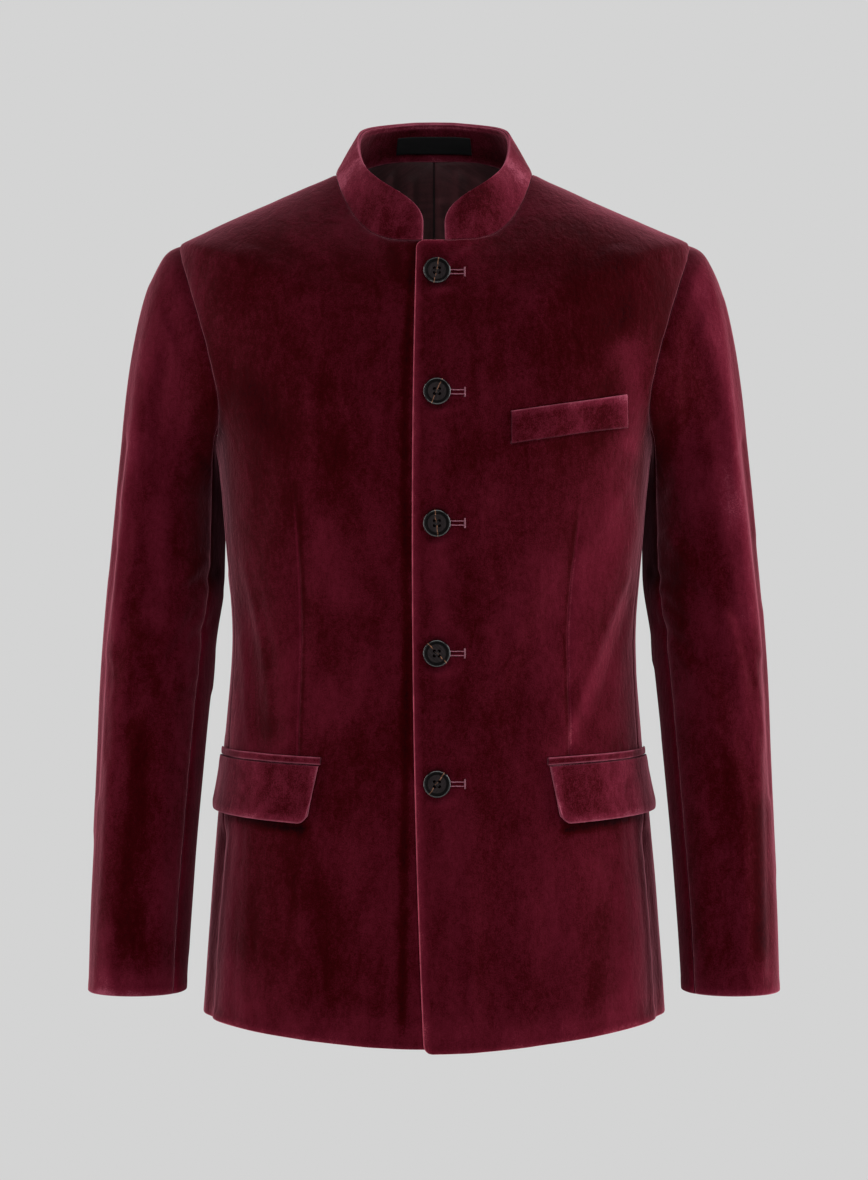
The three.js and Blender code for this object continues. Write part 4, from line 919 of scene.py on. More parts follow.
def dart_painted_light(s, t):
    """A painted highlight along the dart's fold, and painted shade beside it."""
    along = ease(DART_TOP, DART_TOP - 0.06, t) * ease(DART_FOOT - 0.004, DART_FOOT + 0.01, t)
    out = (s - DART_COLUMN) * FRONT_WIDTH
    rubbed_and_lit, shaded = np.exp(-(((out - 0.9) / 0.6) ** 2)), np.exp(-(((out + 2.6) / 2.6) ** 2))
    return along * (0.8 * rubbed_and_lit - 0.45 * shaded)


def overlap_lift(side, angle, row):
    x = ring_point(RINGS.at(row), angle)[..., 0]
    return side * OVERLAP_LIFT * ease(70, 26, x)


def button_pull(side, angle, row):
    """Each button sits in a faint dimple and drags a soft ridge under it, and round its seat the pile
    gets painted shade: the ridge, the dimple and the painted shade."""
    point = ring_point(RINGS.at(row), side * angle)
    ridge, dimple, button_shade = 0 * row, 0 * row, 0 * row
    for z in BUTTON_HEIGHTS:
        x, up = point[..., 0] - BUTTON_X, point[..., 2] - z
        ridge += np.exp(-(((x - 5) / 12) ** 2) - ((up + 17 - x * 0.15) / 3.5) ** 2)
        dimple += np.exp(-((x / 15) ** 2) - (up / 11) ** 2)
        button_shade += np.exp(-(((x**2 + up**2) / 70) ** 3))
    return ridge, dimple, button_shade


def mirrored(grid, side):
    """A grid for the wearer's right runs the other way, so that its faces still point out."""
    return grid if side > 0 else grid[:, ::-1]


def body_cloth(name, side, places, kinds, lift=0.0, painted_light=0.0, tucked=None, **shaping):
    """A lined velvet piece of the body; where it is tucked, the sleeve's seam has its allowance."""
    angle, row = side * places[..., 0], places[..., 1]
    grid = mirrored(body_point(angle, row, lift), side)
    nap = mirrored(body_nap_and_painted_light(angle, row) + painted_light, side)
    tuck = None if tucked is None else ALLOWANCE * mirrored(tucked, side)
    return cloth(name, grid, VELVET_THICK, kinds, BODY_VELVET, LINING, tuck=tuck, nap=nap, **shaping)


SIDES = (("left", 1), ("right", -1))
COLLAR_END_X = 9.5
COLLAR_END = float(angle_at_x(RINGS.at(NECK_ROW), np.array(COLLAR_END_X)))
print("collar ends at", round(math.degrees(COLLAR_END), 2), "degrees from the centre front")

# %% Make the fronts
for label, side in SIDES:
    s = stations(FRONT_WIDTH, [0, DART_COLUMN, 1])
    t = stations(FRONT_RUN, [0, FRONT_JOINT, NECK_SHARE, 1])
    across, up = s[None, :], t[:, None]
    drop = OVER_HEM_DROP if side > 0 else -OVER_HEM_DROP / 4
    places = patch(*panel_edges(front_edge, front_seam, FRONT_SEAM_END, FRONT_JOINT, drop), s, t)
    if side < 0:  # this dart leans in towards the chest
        places[..., 0] -= DART_LEAN * np.sin(np.pi * s) * (ease(0.28, 0.42, up) * ease(0.88, 0.5, up))
    ridge, dimple, button_shade = button_pull(side, places[..., 0], places[..., 1])
    lift = overlap_lift(side, places[..., 0], places[..., 1]) - dart_depth(across, up)
    lift = lift + 0.6 * ridge - 0.4 * dimple
    # painted light: the dart's highlight and shade, a highlight on the drag ridge under each button, and
    # deep painted shade round each button's seat
    painted_light = dart_painted_light(across, up) + 0.4 * ridge - 3 * button_shade
    edge_angle = float(front_edge(np.array(float(NECK_ROW))))
    collar_start = mix(NECK_SHARE, 1, (COLLAR_END - edge_angle) / (RIGHT_ANGLE - edge_angle))
    free = up < collar_start
    middle, outer = ("left", "right") if side > 0 else ("right", "left")
    kinds = {middle: [("edge", free), ("seam", ~free)], outer: "seam", "bottom": "edge"}
    near_arm = (up > FRONT_JOINT) * (across > 0.8)
    piece = body_cloth(f"velvet_front_{label}", side, places, kinds, lift, painted_light, near_arm, swell=0.45)
    keep(piece, [f"front_{label}"], "velvet", flat=(0.30, 0.78), held="hung", rests_on=["velvet_collar"])


# %% Make the side panels and backs
def hem_line(share):
    start, end = (seam(np.array(0.0))[0] for seam in (front_seam, back_seam))
    return pair(mix(start, end, share), 0)


def under_arm(share):
    return armhole(mix(FRONT_SEAM_END, BACK_SEAM_END, share))


def centre_back(row):
    return np.full(np.shape(row), np.pi)


for label, side in SIDES:
    back = f"velvet_back_{label}"
    s, t = stations(SIDE_WIDTH, [0, 1]), stations(SIDE_RUN, [0, 1])
    places = patch(hem_line, under_arm, front_seam, back_seam, s, t)
    piece = body_cloth(f"velvet_side_{label}", side, places, {"bottom": "edge"})
    keep(piece, [f"side_panel_{label}"], "velvet", flat=(0.13, 0.58), held="hung", rests_on=[back])

    s, t = stations(BACK_WIDTH, [0, 1]), stations(BACK_RUN, [0, BACK_JOINT, NECK_SHARE, 1])
    places = patch(*panel_edges(centre_back, back_seam, BACK_SEAM_END, BACK_JOINT), s, t)[:, ::-1]
    near_arm = ((t[:, None] > BACK_JOINT) * (s[None, :] > 0.8))[:, ::-1]
    piece = body_cloth(back, side, places, {"bottom": "edge"}, tucked=near_arm, gap=-0.2)
    keep(piece, [f"back_{label}"], "velvet", flat=(0.27, 0.80), held="hung", rests_on=["velvet_collar"])

# %% [markdown]
# ## Sleeves
# A tailored sleeve has a top piece and a narrow under piece; the seam between them runs down the
# front of the forearm and the other down behind. Its head leaves the armhole outwards, turns over
# the shoulder and hangs. Rings again give its width and depth down the arm, which bends gently
# forward. An arm that hangs puts long soft pipes down the cloth and short strain creases inside
# the elbow, and they differ from arm to arm, so each sleeve has its own table.

# %% Sleeve tables
SLEEVE_RINGS = Sections("z outer inner ahead behind tilt skew", [
    (-262, 272.5, 184.5, 64, 60, 30, 40),
    (-335, 282, 184.5, 61, 55, 12, 34),
    (-405, 288, 191.5, 63, 50, 2, 20),
    (-475, 291.5, 198, 67, 43, 0, 9),
    (-545, 294, 203.5, 72, 33, 0, 3),
    (-625, 296.3, 209, 76, 23, 0, 0),
    (-SLEEVE_LENGTH, 297.6, 213.6, 79, 14, 0, 0),
])
SLEEVE_SQUARE, HEAD_SHARE, HEAD_REACH, HEAD_END_REACH = 2.1, 0.3, 0.62, 0.95
SLEEVE_FOLDS = [
    (60, 0.1, 35, 0.55, 10, 2.2), (28, 0.3, 20, 0.75, 9, -1.8), (100, 0.45, 62, 0.72, 11, -1.6),
    (45, 0.62, 60, 0.98, 12, 1.5), (88, 0.66, 100, 0.95, 12, -1.5), (150, 0.42, 60, 0.5, 8, -2.2),
    (155, 0.5, 85, 0.58, 8, -1.8), (-80, 0.2, -60, 0.5, 12, -2), (-100, 0.5, -60, 0.6, 9, 1.8),
    (-70, 0.62, -85, 0.95, 13, -1.6),
]
SLEEVE_CREASES = {
    "left": [
        (40, 0.08, 52, 0.34, 7, 1.1), (75, 0.06, 66, 0.3, 8, -1.0), (22, 0.12, 12, 0.4, 7, 0.9),
        (96, 0.1, 118, 0.3, 8, 1.1), (52, 0.4, 40, 0.66, 6, 1.0), (73, 0.44, 50, 0.6, 5, -1.0),
        (128, 0.36, 92, 0.46, 6, 1.3), (138, 0.46, 100, 0.53, 5, -1.2), (132, 0.54, 96, 0.61, 6, 1.1),
        (112, 0.6, 84, 0.7, 6, 0.9), (34, 0.7, 44, 0.97, 8, -0.9), (70, 0.75, 76, 0.99, 7, 1.0),
        (104, 0.74, 112, 0.98, 8, -0.9), (8, 0.5, 2, 0.85, 9, 0.9), (-30, 0.2, -24, 0.6, 10, -1.0),
        (-55, 0.35, -44, 0.52, 6, 1.2), (-62, 0.55, -38, 0.62, 6, -1.2), (-48, 0.7, -56, 0.97, 9, 1.0),
        (190, 0.2, 205, 0.42, 8, -1.2), (215, 0.48, 188, 0.56, 7, 1.3), (200, 0.68, 206, 0.97, 9, 1.0),
    ],
    "right": [
        (46, 0.07, 38, 0.36, 8, 1.2), (68, 0.12, 80, 0.33, 7, -1.1), (14, 0.1, 24, 0.44, 8, 0.8),
        (108, 0.08, 98, 0.28, 7, 1.0), (30, 0.42, 46, 0.7, 7, -1.1), (64, 0.38, 44, 0.56, 5, 1.1),
        (134, 0.4, 88, 0.49, 6, 1.4), (126, 0.49, 104, 0.57, 5, -1.1), (140, 0.58, 90, 0.64, 6, 1.0),
        (100, 0.63, 78, 0.76, 7, -0.9), (52, 0.72, 40, 0.99, 8, 1.0), (82, 0.78, 74, 0.98, 7, -0.9),
        (110, 0.7, 118, 0.96, 8, 0.9), (-4, 0.46, 6, 0.8, 9, 1.0), (-28, 0.24, -36, 0.58, 9, -1.1),
        (-60, 0.32, -40, 0.48, 6, 1.1), (-50, 0.5, -66, 0.6, 6, -1.3), (-42, 0.68, -50, 0.96, 9, 0.9),
        (196, 0.24, 186, 0.44, 8, -1.1), (212, 0.5, 184, 0.6, 7, 1.2), (208, 0.7, 198, 0.95, 9, 0.9),
    ],
}


def lower_sleeve(turn, place):
    """The sleeve below its head; turn 0 is the outer side and 90 degrees the front."""
    ring = SLEEVE_RINGS.at(place)
    cos, sin = np.cos(turn), np.sin(turn)
    full = (np.abs(cos) ** SLEEVE_SQUARE + np.abs(sin) ** SLEEVE_SQUARE) ** (-1 / SLEEVE_SQUARE)
    x = (ring["outer"] + ring["inner"]) / 2 + (ring["outer"] - ring["inner"]) / 2 * cos * full
    y = (ring["behind"] - ring["ahead"]) / 2 - (ring["ahead"] + ring["behind"]) / 2 * sin * full
    return np.stack([x, y + ring["skew"] * (1 - cos) / 2, ring["z"] + ring["tilt"] * cos], -1)


def plain_sleeve(side, turn, share):
    """Places on one sleeve, all on the wearer's left; side picks which armhole it is set into."""
    rows = len(SLEEVE_RINGS.rows) - 1
    lower = lower_sleeve(turn[None, :], rows * (share[:, None] - HEAD_SHARE) / (1 - HEAD_SHARE))
    angle, row = np.moveaxis(armhole(turn), -1, 0)
    start = on_body(side * angle, row, -SEAM_ROLL + 0 * row) * (side, 1, 1)
    end = lower_sleeve(turn, 0.0)
    down = unit(lower_sleeve(turn, 0.05) - end)
    length = np.linalg.norm(end - start, axis=-1, keepdims=True)
    top = (1 + np.cos(turn)) / 2
    leave = unit(np.stack([mix(0.1, 0.95, top**0.6), -0.3 * np.sin(turn), mix(-0.95, -0.3, top)], -1))
    f = (share / HEAD_SHARE)[:, None, None]
    head = hermite(start, leave * length * HEAD_REACH, end, down * length * HEAD_END_REACH, f)
    return np.where((share < HEAD_SHARE)[:, None, None], head, lower)


cuff = SLEEVE_RINGS.at(len(SLEEVE_RINGS.rows) - 1.0)
print("sleeve width at the cuff:", round(float(cuff["outer"] - cuff["inner"]), 1), "mm")

# %% Make the sleeves
FOREARM_SEAM, HIND_SEAM = np.radians(141), np.radians(-75)
SLEEVE_RUN = 700
HEAD_ROLL = 1.1  # the seam's allowance lifts the head just below the armhole
SLEEVE_PARTS = (
    ("top", HIND_SEAM, FOREARM_SEAM, 300, (0.26, 0.70)),
    ("under", FOREARM_SEAM, HIND_SEAM + 2 * np.pi, 190, (0.17, 0.58)),
)
for label, side in SIDES:
    body = [f"velvet_front_{label}", f"velvet_back_{label}"]
    for part, start, end, width, flat in SLEEVE_PARTS:
        turn = mix(start, end, stations(width, [0, 1]))
        share = stations(SLEEVE_RUN, [0, 1])
        plain = plain_sleeve(side, turn, share)
        across, down = np.degrees(turn)[None, :], share[:, None]
        height = fold_height(SLEEVE_FOLDS + SLEEVE_CREASES[label], across, down, 1, SLEEVE_LENGTH)
        height = height * ease(0, 0.1, down) + waver(plain * (1, 1, 0.8)) * ease(0, 0.03, down)
        outside = np.cos(turn)[None, :]
        height = height + HEAD_ROLL * np.exp(-(((down - 0.035) / 0.022) ** 2)) * (outside > 0) * outside
        grid = mirrored((plain + grid_normals(plain) * height[..., None]) * (side, 1, 1), side)
        nap = mirrored(fold_height(SLEEVE_NAP_AND_PAINTED_LIGHT[label], across, down, 1, SLEEVE_LENGTH), side)
        # the under piece takes the shaded copy of the velvet: painted shade between arm and body
        cut = SLEEVE_VELVET if part == "top" else UNDER_VELVET_SHADED
        name, kinds = f"velvet_sleeve_{part}_{label}", {"bottom": "set", "top": "edge"}
        piece = cloth(name, grid, VELVET_THICK, kinds, cut, LINING, swell=0.3, tuck=2.0, nap=nap)
        keep(piece, [f"sleeve_{part}_{label}"], "velvet", flat=flat, held="hung", rests_on=body)

# %% [markdown]
# ## Collar, label and back lining
# The stand collar is a band that leans in towards the neck. Its outer and inner layers of velvet
# meet in a rolled edge along the top and round the two front corners. Inside, a small woven label
# sits on the facing and is left blank, and below the collar seam the satin lining begins, with a
# pleat of ease down the centre back and soft drag folds from the neck seam.

# %% The collar's shape
COLLAR_TOP = {"half": 67, "ahead": 75, "behind": 54, "square": 2.1, "bowl": 3, "level": 3}
COLLAR_TOP |= {"frontZ": 0, "sideZ": 0, "backZ": 0}
COLLAR_TOP_STEP = 15  # degrees from one height of the top edge to the next, from front to back
TOP_HEIGHTS = (-31, -27, -16.5, -5.5, 6, 20, 34, 43.5, 49, 52.5, 55, 56.6, 57)
COLLAR_TOP_HEIGHTS = Sections("z", [(z,) for z in TOP_HEIGHTS])
COLLAR_DEGREE, COLLAR_STAND = 1.35, 46  # mm round the neck in one degree, and up the band
COLLAR_BOW, COLLAR_FOOT, COLLAR_STRAIGHT, COLLAR_CORNER_X = 1.5, -0.004, 0.42, 18
COLLAR_CORNER = float(angle_at_x(COLLAR_TOP, np.array(COLLAR_END_X + COLLAR_CORNER_X))) - COLLAR_END
COLLAR_CREASES = [
    # degrees round the neck, share up the stand
    (60, 0.1, 52, 0.9, 9, 0.9), (78, 0.15, 74, 0.85, 7, -0.8), (-62, 0.1, -56, 0.9, 8, 0.8),
    (-76, 0.1, -72, 0.9, 8, -0.8), (30, 0.3, 24, 0.8, 9, 0.5), (-34, 0.3, -27, 0.8, 9, 0.5),
    (120, 0.1, 124, 0.9, 9, 0.6), (-132, 0.1, -126, 0.9, 9, 0.6), (160, 0.2, 158, 0.9, 10, -0.4),
]


def collar_point(angle, height):
    foot, top = ring_point(RINGS.at(float(NECK_ROW)), angle), ring_point(COLLAR_TOP, angle)
    round_neck = np.abs(np.degrees(angle) - 360 * np.round(np.degrees(angle) / 360))
    top[..., 2] = COLLAR_TOP_HEIGHTS.at(round_neck / COLLAR_TOP_STEP)["z"]
    point = mix(foot, top, height[..., None])
    outward = np.stack([np.sin(angle), -np.cos(angle), 0 * angle], -1)
    arch = height * (1 - height)
    creases = fold_height(COLLAR_CREASES, np.degrees(angle), height, COLLAR_DEGREE, COLLAR_STAND)
    bow = COLLAR_BOW * 4 * arch + creases * 4 * np.clip(arch, 0, 1)
    return point + outward * bow[..., None]


def collar_end(t):
    q = RIGHT_ANGLE * (t - COLLAR_STRAIGHT) / (1 - COLLAR_STRAIGHT)
    low = t < COLLAR_STRAIGHT
    angle = np.where(low, COLLAR_END, COLLAR_END + COLLAR_CORNER * (1 - np.cos(q)))
    straight = mix(COLLAR_FOOT, COLLAR_STRAIGHT, t / COLLAR_STRAIGHT)
    height = np.where(low, straight, mix(COLLAR_STRAIGHT, 1, np.sin(q)))
    return pair(angle, height)


def collar_places(s, t):
    far_end = lambda t: collar_end(t) * (-1, 1) + (2 * np.pi, 0)
    corner = COLLAR_END + COLLAR_CORNER
    foot = lambda s: pair(mix(COLLAR_END, 2 * np.pi - COLLAR_END, s), COLLAR_FOOT)
    top = lambda s: pair(mix(corner, 2 * np.pi - corner, s), 1)
    return patch(foot, top, collar_end, far_end, s, t)


def on_collar(s, t, lift):
    angle, height = np.moveaxis(collar_places(s, t), -1, 0)
    lift = np.broadcast_to(lift, angle.shape)
    return collar_point(angle, height) + surface_normal(collar_point, angle, height) * lift[..., None]


print("collar stands", TOP_HEIGHTS[-1] - RINGS.rows[-1, 2], "mm at the back")

# %% Make the collar and its facing
COLLAR_RUN = 430
s = stations(COLLAR_RUN, [0, 1], 2.2)
t = stations(COLLAR_STAND, [0, 1], 1.6)
kinds = {"left": "edge", "right": "edge", "top": "edge"}
from_top = (1 - t[:, None]) * 30 + 0 * s[None, :]
rolled = 0.45 * (np.exp(-(((from_top - 2.6) / 1.0) ** 2)) + 0.8 * np.exp(-(((from_top - 6.2) / 1.3) ** 2)))
angle, height = np.moveaxis(collar_places(s, t), -1, 0)
nap = fold_height(COLLAR_NAP_AND_PAINTED_LIGHT, np.degrees(angle), height, COLLAR_DEGREE, COLLAR_STAND)
facing = on_collar(s, mix(-0.07, 1, t), -3.8 - rolled)[:, ::-1]
# the facing is darker throughout, with painted highlights along its two rolled ridges
facing_nap_and_painted_light = (0.5 * nap - 0.35 + 2.2 * rolled)[:, ::-1]
for name, node, grid, thick, kinds, tuck, nap in (
    ("velvet_collar", "collar_outer", on_collar(s, t, 0), 2, kinds, 1.5, nap),
    ("velvet_collar_facing", "collar_facing", facing, 1.5, {**kinds, "bottom": "edge"}, 0.0, facing_nap_and_painted_light),
):
    piece = cloth(name, grid, thick, kinds, TRIM_VELVET, swell=0.15, pucker=0.1, tuck=tuck, nap=nap)
    backs = ["velvet_back_left", "velvet_back_right"]
    keep(piece, [node], "velvet", flat=(0.47, 0.07), held="folded", rests_on=backs)

# %% Make the blank label
LABEL_WIDTH, LABEL_DEPTH, LABEL_HALF, LABEL_FOOT, LABEL_TOP = 62, 20, 0.088, 0.17, 0.66
across = mix(-1, 1, stations(LABEL_WIDTH, [0, 1], 1.6))[None, :]
up = mix(LABEL_FOOT, LABEL_TOP, stations(LABEL_DEPTH, [0, 1], 1.2))[:, None]
taper = mix(0.93, 1, (up - LABEL_FOOT) / (LABEL_TOP - LABEL_FOOT))
angle = np.pi + across * LABEL_HALF * 2 * np.pi * taper
height = up + 0 * angle
grid = collar_point(angle, height) - surface_normal(collar_point, angle, height) * 4.9
kinds = {side: "edge" for side in ("left", "right", "top", "bottom")}
piece = cloth("neck_label_blank", grid[:, ::-1], 0.8, kinds, LABEL, pucker=0)
facing = ["velvet_collar_facing"]
keep(piece, ["neck_label"], "label_weave", flat=(0.066, 0.026), held="laid", rests_on=facing)

# %% Make the back lining
LINING_CREASES = [
    (150, 10.6, 160, 9.2, 6, 1.6), (163, 10.7, 167, 9.6, 5, 1.4), (-152, 10.7, -161, 9.3, 6, 1.7),
    (-166, 10.6, -169, 9.5, 5, 1.2), (135, 10.3, 146, 8.7, 8, 1.8), (-138, 10.3, -148, 8.6, 8, 1.6),
    (176, 10.2, 170, 7.4, 8, 1.5), (-175, 9.8, -171, 7.0, 9, 1.7), (120, 9.0, 140, 7.2, 10, 2.0),
    (-121, 9.1, -139, 7.0, 10, 2.2), (158, 8.8, 166, 7.6, 7, 1.2), (-160, 8.4, -167, 7.3, 7, 1.1),
]
LINING_DEGREE, LINING_ROW = 2.2, 60  # mm round the back in one degree, and up it in one row
LINING_FOOT, LINING_HEAD = 0.5, 0.995
neck = (NECK_SHARE - LINING_FOOT) / (LINING_HEAD - LINING_FOOT)
for label, side in SIDES:
    s = mix(0, 0.94, stations(235, [0, 1], 3.2))
    t = mix(LINING_FOOT, LINING_HEAD, stations(330, [0, neck, 1], 3.2))
    places = patch(*panel_edges(centre_back, back_seam, BACK_SEAM_END, BACK_JOINT), s, t)
    angle, row = np.degrees(side * places[..., 0]), places[..., 1]
    from_middle = np.abs(180 - np.abs(angle)) * LINING_DEGREE
    pleat = 1.6 * np.exp(-(((from_middle - 7) / 4.5) ** 2)) + 0.8 * np.exp(-(((from_middle - 22) / 8) ** 2))
    sag = fold_height(LINING_CREASES, angle, row, LINING_DEGREE, LINING_ROW)
    lift = -3.55 - pleat * ease(10.95, 10.2, row) - sag
    grid = mirrored(body_point(side * places[..., 0], row, lift), side)
    # painted light and shade on the flanks of the drag folds, from their slope; the wearer's left half a
    # touch paler
    nap = mirrored(1.1 * side * np.gradient(sag, axis=1), side) + 0.12 * side
    name, node = f"satin_back_lining_{label}", f"lining_back_{label}"
    piece = cloth(name, grid, 1, {}, LINING, gap=-0.4, pucker=0.25, nap=nap)
    keep(piece, [node], "lining_satin", flat=(0.23, 0.36), held="hung", rests_on=["velvet_collar_facing"])

# %% [markdown]
# ## Pockets
# A jetted pocket is a slit with a narrow folded strip above it and a flap that hangs out of it.
# The flap is velvet on both sides with rounded lower corners; its foot stands a little off the
# coat, and a painted shade lies on the coat below it. The chest pocket has a welt, a slanted band
# sewn down at its ends with its upper edge free. All of them read the body's form, so they curve
# with it.

# %% Make the flaps and the strips above them
FLAP_FRONT_X, FLAP_FOOT_X, FLAP_REAR = 96, 103.5, np.radians(84)
FLAP_TOP_Z, FLAP_TOP_RISE, FLAP_DEPTH, FLAP_FOOT_RISE, FLAP_CORNER = -508.5, 5, 49, 7, 9
FLAP_WIDTH, FLAP_THICK, JET_THICK, POCKET_LIFT = 128, 2.6, 1.5, 0.9


def flap_grid(side, s, t):
    edges = [float(front_place(x, FLAP_TOP_Z)[0]) for x in (FLAP_FRONT_X, FLAP_FOOT_X)]
    s, t = s[None, :], t[:, None]
    angle = mix(mix(edges[0], edges[1], t), FLAP_REAR, s)
    corner = fillet(FLAP_CORNER, s * FLAP_WIDTH) + fillet(FLAP_CORNER, (1 - s) * FLAP_WIDTH)
    top = FLAP_TOP_Z + FLAP_TOP_RISE * s
    foot = FLAP_TOP_Z - FLAP_DEPTH + FLAP_FOOT_RISE * s + corner
    row = row_at_height(angle, mix(top, foot, t))
    stand = POCKET_LIFT + (1.5 + 1.5 * s**3) * t**1.5
    bulge = np.exp(-(((s - 0.4) / 0.2) ** 2) - ((t - 0.55) / 0.3) ** 2)
    stand = stand + 0.5 * np.sin(s * 7.5 + side) * t**2 + 0.35 * bulge
    return on_body(side * angle, row, stand + FLAP_THICK)


def jet_grid(side, s, t):
    front = float(front_place(FLAP_FRONT_X - 1.5, FLAP_TOP_Z)[0])
    s, t = s[None, :], t[:, None]
    angle = mix(front, FLAP_REAR + 0.01, s) + 0 * t
    row = row_at_height(angle, FLAP_TOP_Z + FLAP_TOP_RISE * s + 0.6 + 6.5 * t)
    return on_body(side * angle, row, POCKET_LIFT + JET_THICK + 0.25 * np.sin(np.pi * t) + 0 * s)


for label, side in SIDES:
    front = [f"velvet_front_{label}"]
    s = stations(FLAP_WIDTH, [0, 1], 2.4)
    grid = mirrored(flap_grid(side, s, stations(49, [0, 1], 2.0)[::-1]), side)
    kinds = {"left": "edge", "right": "edge", "bottom": "edge"}
    # paler towards the rear end, a painted highlight; the wearer's left flap a touch paler
    nap = mirrored(0.12 + 0.1 * side + 0.7 * np.broadcast_to(s, grid.shape[:2]) ** 5, side)
    piece = cloth(f"velvet_flap_{label}", grid, FLAP_THICK, kinds, TRIM_VELVET, swell=0.3, gap=0, nap=nap)
    keep(piece, [f"pocket_flap_{label}"], "velvet", flat=(0.134, 0.052), held="hung", rests_on=front)
    grid = mirrored(jet_grid(side, s, stations(6.5, [0, 1], 0.8)), side)
    kinds = {"bottom": "edge", "top": "edge"}
    piece = cloth(f"velvet_jet_{label}", grid, JET_THICK, kinds, TRIM_VELVET, gap=0, pucker=0.05, nap=-0.55)
    keep(piece, [f"pocket_jet_{label}"], "velvet", flat=(0.134, 0.01), held="folded", rests_on=front)

# %% Make the chest welt
WELT_WIDTH, WELT_HEIGHT = 102, 27.5
WELT_START_X, WELT_END_X, WELT_TOP_Z, WELT_RISE = 64, 163.5, -211.5, 16
s = stations(WELT_WIDTH, [0, 1], 2.2)[None, :]
t = stations(WELT_HEIGHT, [0, 1], 1.6)[:, None]
welt_x, welt_z = mix(WELT_START_X, WELT_END_X, s), WELT_TOP_Z - WELT_HEIGHT * (1 - t) + WELT_RISE * s
angle, row = front_place(welt_x, welt_z)
puff = 0.55 * np.sin(np.pi * np.clip(t, 0, 1)) ** 0.6 * np.sin(np.pi * s) ** 0.3
grid = on_body(angle, row, POCKET_LIFT + 2 + puff - 0.3)
# painted highlights at both ends, the stronger at the outer end
nap = -0.1 + 0.5 * np.exp(-(((s - 1) / 0.13) ** 2)) + 0.2 * np.exp(-((s / 0.1) ** 2)) + 0 * t
kinds = {"top": "edge"}
piece = cloth("velvet_chest_welt", grid, 2, kinds, TRIM_VELVET, swell=0.25, gap=0, pucker=0.08, nap=nap)
keep(piece, ["chest_welt"], "velvet", flat=(0.104, 0.032), held="folded", rests_on=["velvet_front_left"])

# %% [markdown]
# ## Stitches by Geometry Nodes
# Stitches repeat along a line, which is what Geometry Nodes are for. The tree resamples a curve at
# the stitch pitch, puts a small spindle of thread on every point, turned along the line or across
# it, gives each a slightly different turn and size from a fixed seed, and makes them real.

# %% The stitch tree
def new_geometry_tree(name, inputs):
    tree = bpy.data.node_groups.new(name, "GeometryNodeTree")
    tree.interface.new_socket("Geometry", in_out="INPUT", socket_type="NodeSocketGeometry")
    for label, kind, value in inputs:
        socket = tree.interface.new_socket(label, in_out="INPUT", socket_type=kind)
        if value is not None:
            socket.default_value = value
    tree.interface.new_socket("Geometry", in_out="OUTPUT", socket_type="NodeSocketGeometry")
    return tree, tree.nodes.new("NodeGroupInput").outputs, tree.nodes.new("NodeGroupOutput").inputs


def evenly_spaced(tree, line, pitch):
    along_length = {"mode": "LENGTH"}
    return put(tree, "GeometryNodeResampleCurve", along_length, Curve=line, Length=pitch).outputs[0]


def end_as_thread(tree, geometry, given, made):
    """Make a tree's geometry real, give it the thread's material and send it out."""
    real = put(tree, "GeometryNodeRealizeInstances", Geometry=geometry).outputs[0]
    real = put(tree, "GeometryNodeSetMaterial", Geometry=real, Material=given["Thread"]).outputs[0]
    tree.links.new(real, made["Geometry"])


stitches, given, made = new_geometry_tree("stitches", [
    ("Pitch", "NodeSocketFloat", 0.003),
    ("Stitch Length", "NodeSocketFloat", 0.002),
    ("Thread Width", "NodeSocketFloat", 0.0004),
    ("Slant", "NodeSocketFloat", 0.0),
    ("Wander", "NodeSocketFloat", 0.08),
    ("Seed", "NodeSocketInt", 3),
    ("Thread", "NodeSocketMaterial", None),
])
line = evenly_spaced(stitches, given["Geometry"], given["Pitch"])
spindle = put(stitches, "GeometryNodeMeshUVSphere", Segments=8, Rings=6, Radius=0.5).outputs[0]
tangent = stitches.nodes.new("GeometryNodeInputTangent").outputs[0]
pointing = {"axis": "X", "pivot_axis": "AUTO"}
along = put(stitches, "FunctionNodeAlignRotationToVector", pointing, Vector=tangent).outputs[0]
wander = put(stitches, "FunctionNodeRandomValue", {"data_type": "FLOAT"}, Seed=given["Seed"])
feed(stitches, [s for s in wander.inputs if s.enabled and s.name in ("Min", "Max")], (-1.0, 1.0))
draw = next(s for s in wander.outputs if s.enabled)
strayed = times(stitches, draw, given["Wander"])
spin = put(stitches, "ShaderNodeCombineXYZ", Z=total(stitches, given["Slant"], strayed)).outputs[0]
in_place = {"space": "LOCAL"}
spun = put(stitches, "FunctionNodeRotateEuler", in_place, Rotation=along, Rotate_By=spin).outputs[0]
long = times(stitches, given["Stitch Length"], total(stitches, strayed, 1.0))
wide = given["Thread Width"]
size = put(stitches, "ShaderNodeCombineXYZ", X=long, Y=wide, Z=wide).outputs[0]
seat = {"Points": line, "Instance": spindle, "Rotation": spun, "Scale": size}
placed = put(stitches, "GeometryNodeInstanceOnPoints", **seat).outputs[0]
end_as_thread(stitches, placed, given, made)
print("stitch tree:", len(stitches.nodes), "nodes")

# %% Turning lines into thread
def curve_through(name, lines):
    """A curve object with one straight-pointed spline for each line of points, in millimetres."""
    data = bpy.data.curves.new(name, "CURVE")
    data.dimensions = "3D"
    for points in lines:
        spline = data.splines.new("POLY")
        spline.points.add(len(points) - 1)
        weighted = np.column_stack([np.asarray(points) / 1000, np.ones(len(points))])
        spline.points.foreach_set("co", weighted.ravel())
    guide = bpy.data.objects.new(name, data)
    scene.collection.objects.link(guide)
    return guide


def evaluated_mesh(piece):
    """The plain mesh that an object's modifiers make; they are then taken off it."""
    graph = bpy.context.evaluated_depsgraph_get()
    mesh = bpy.data.meshes.new_from_object(piece.evaluated_get(graph), depsgraph=graph)
    piece.modifiers.clear()
    return mesh


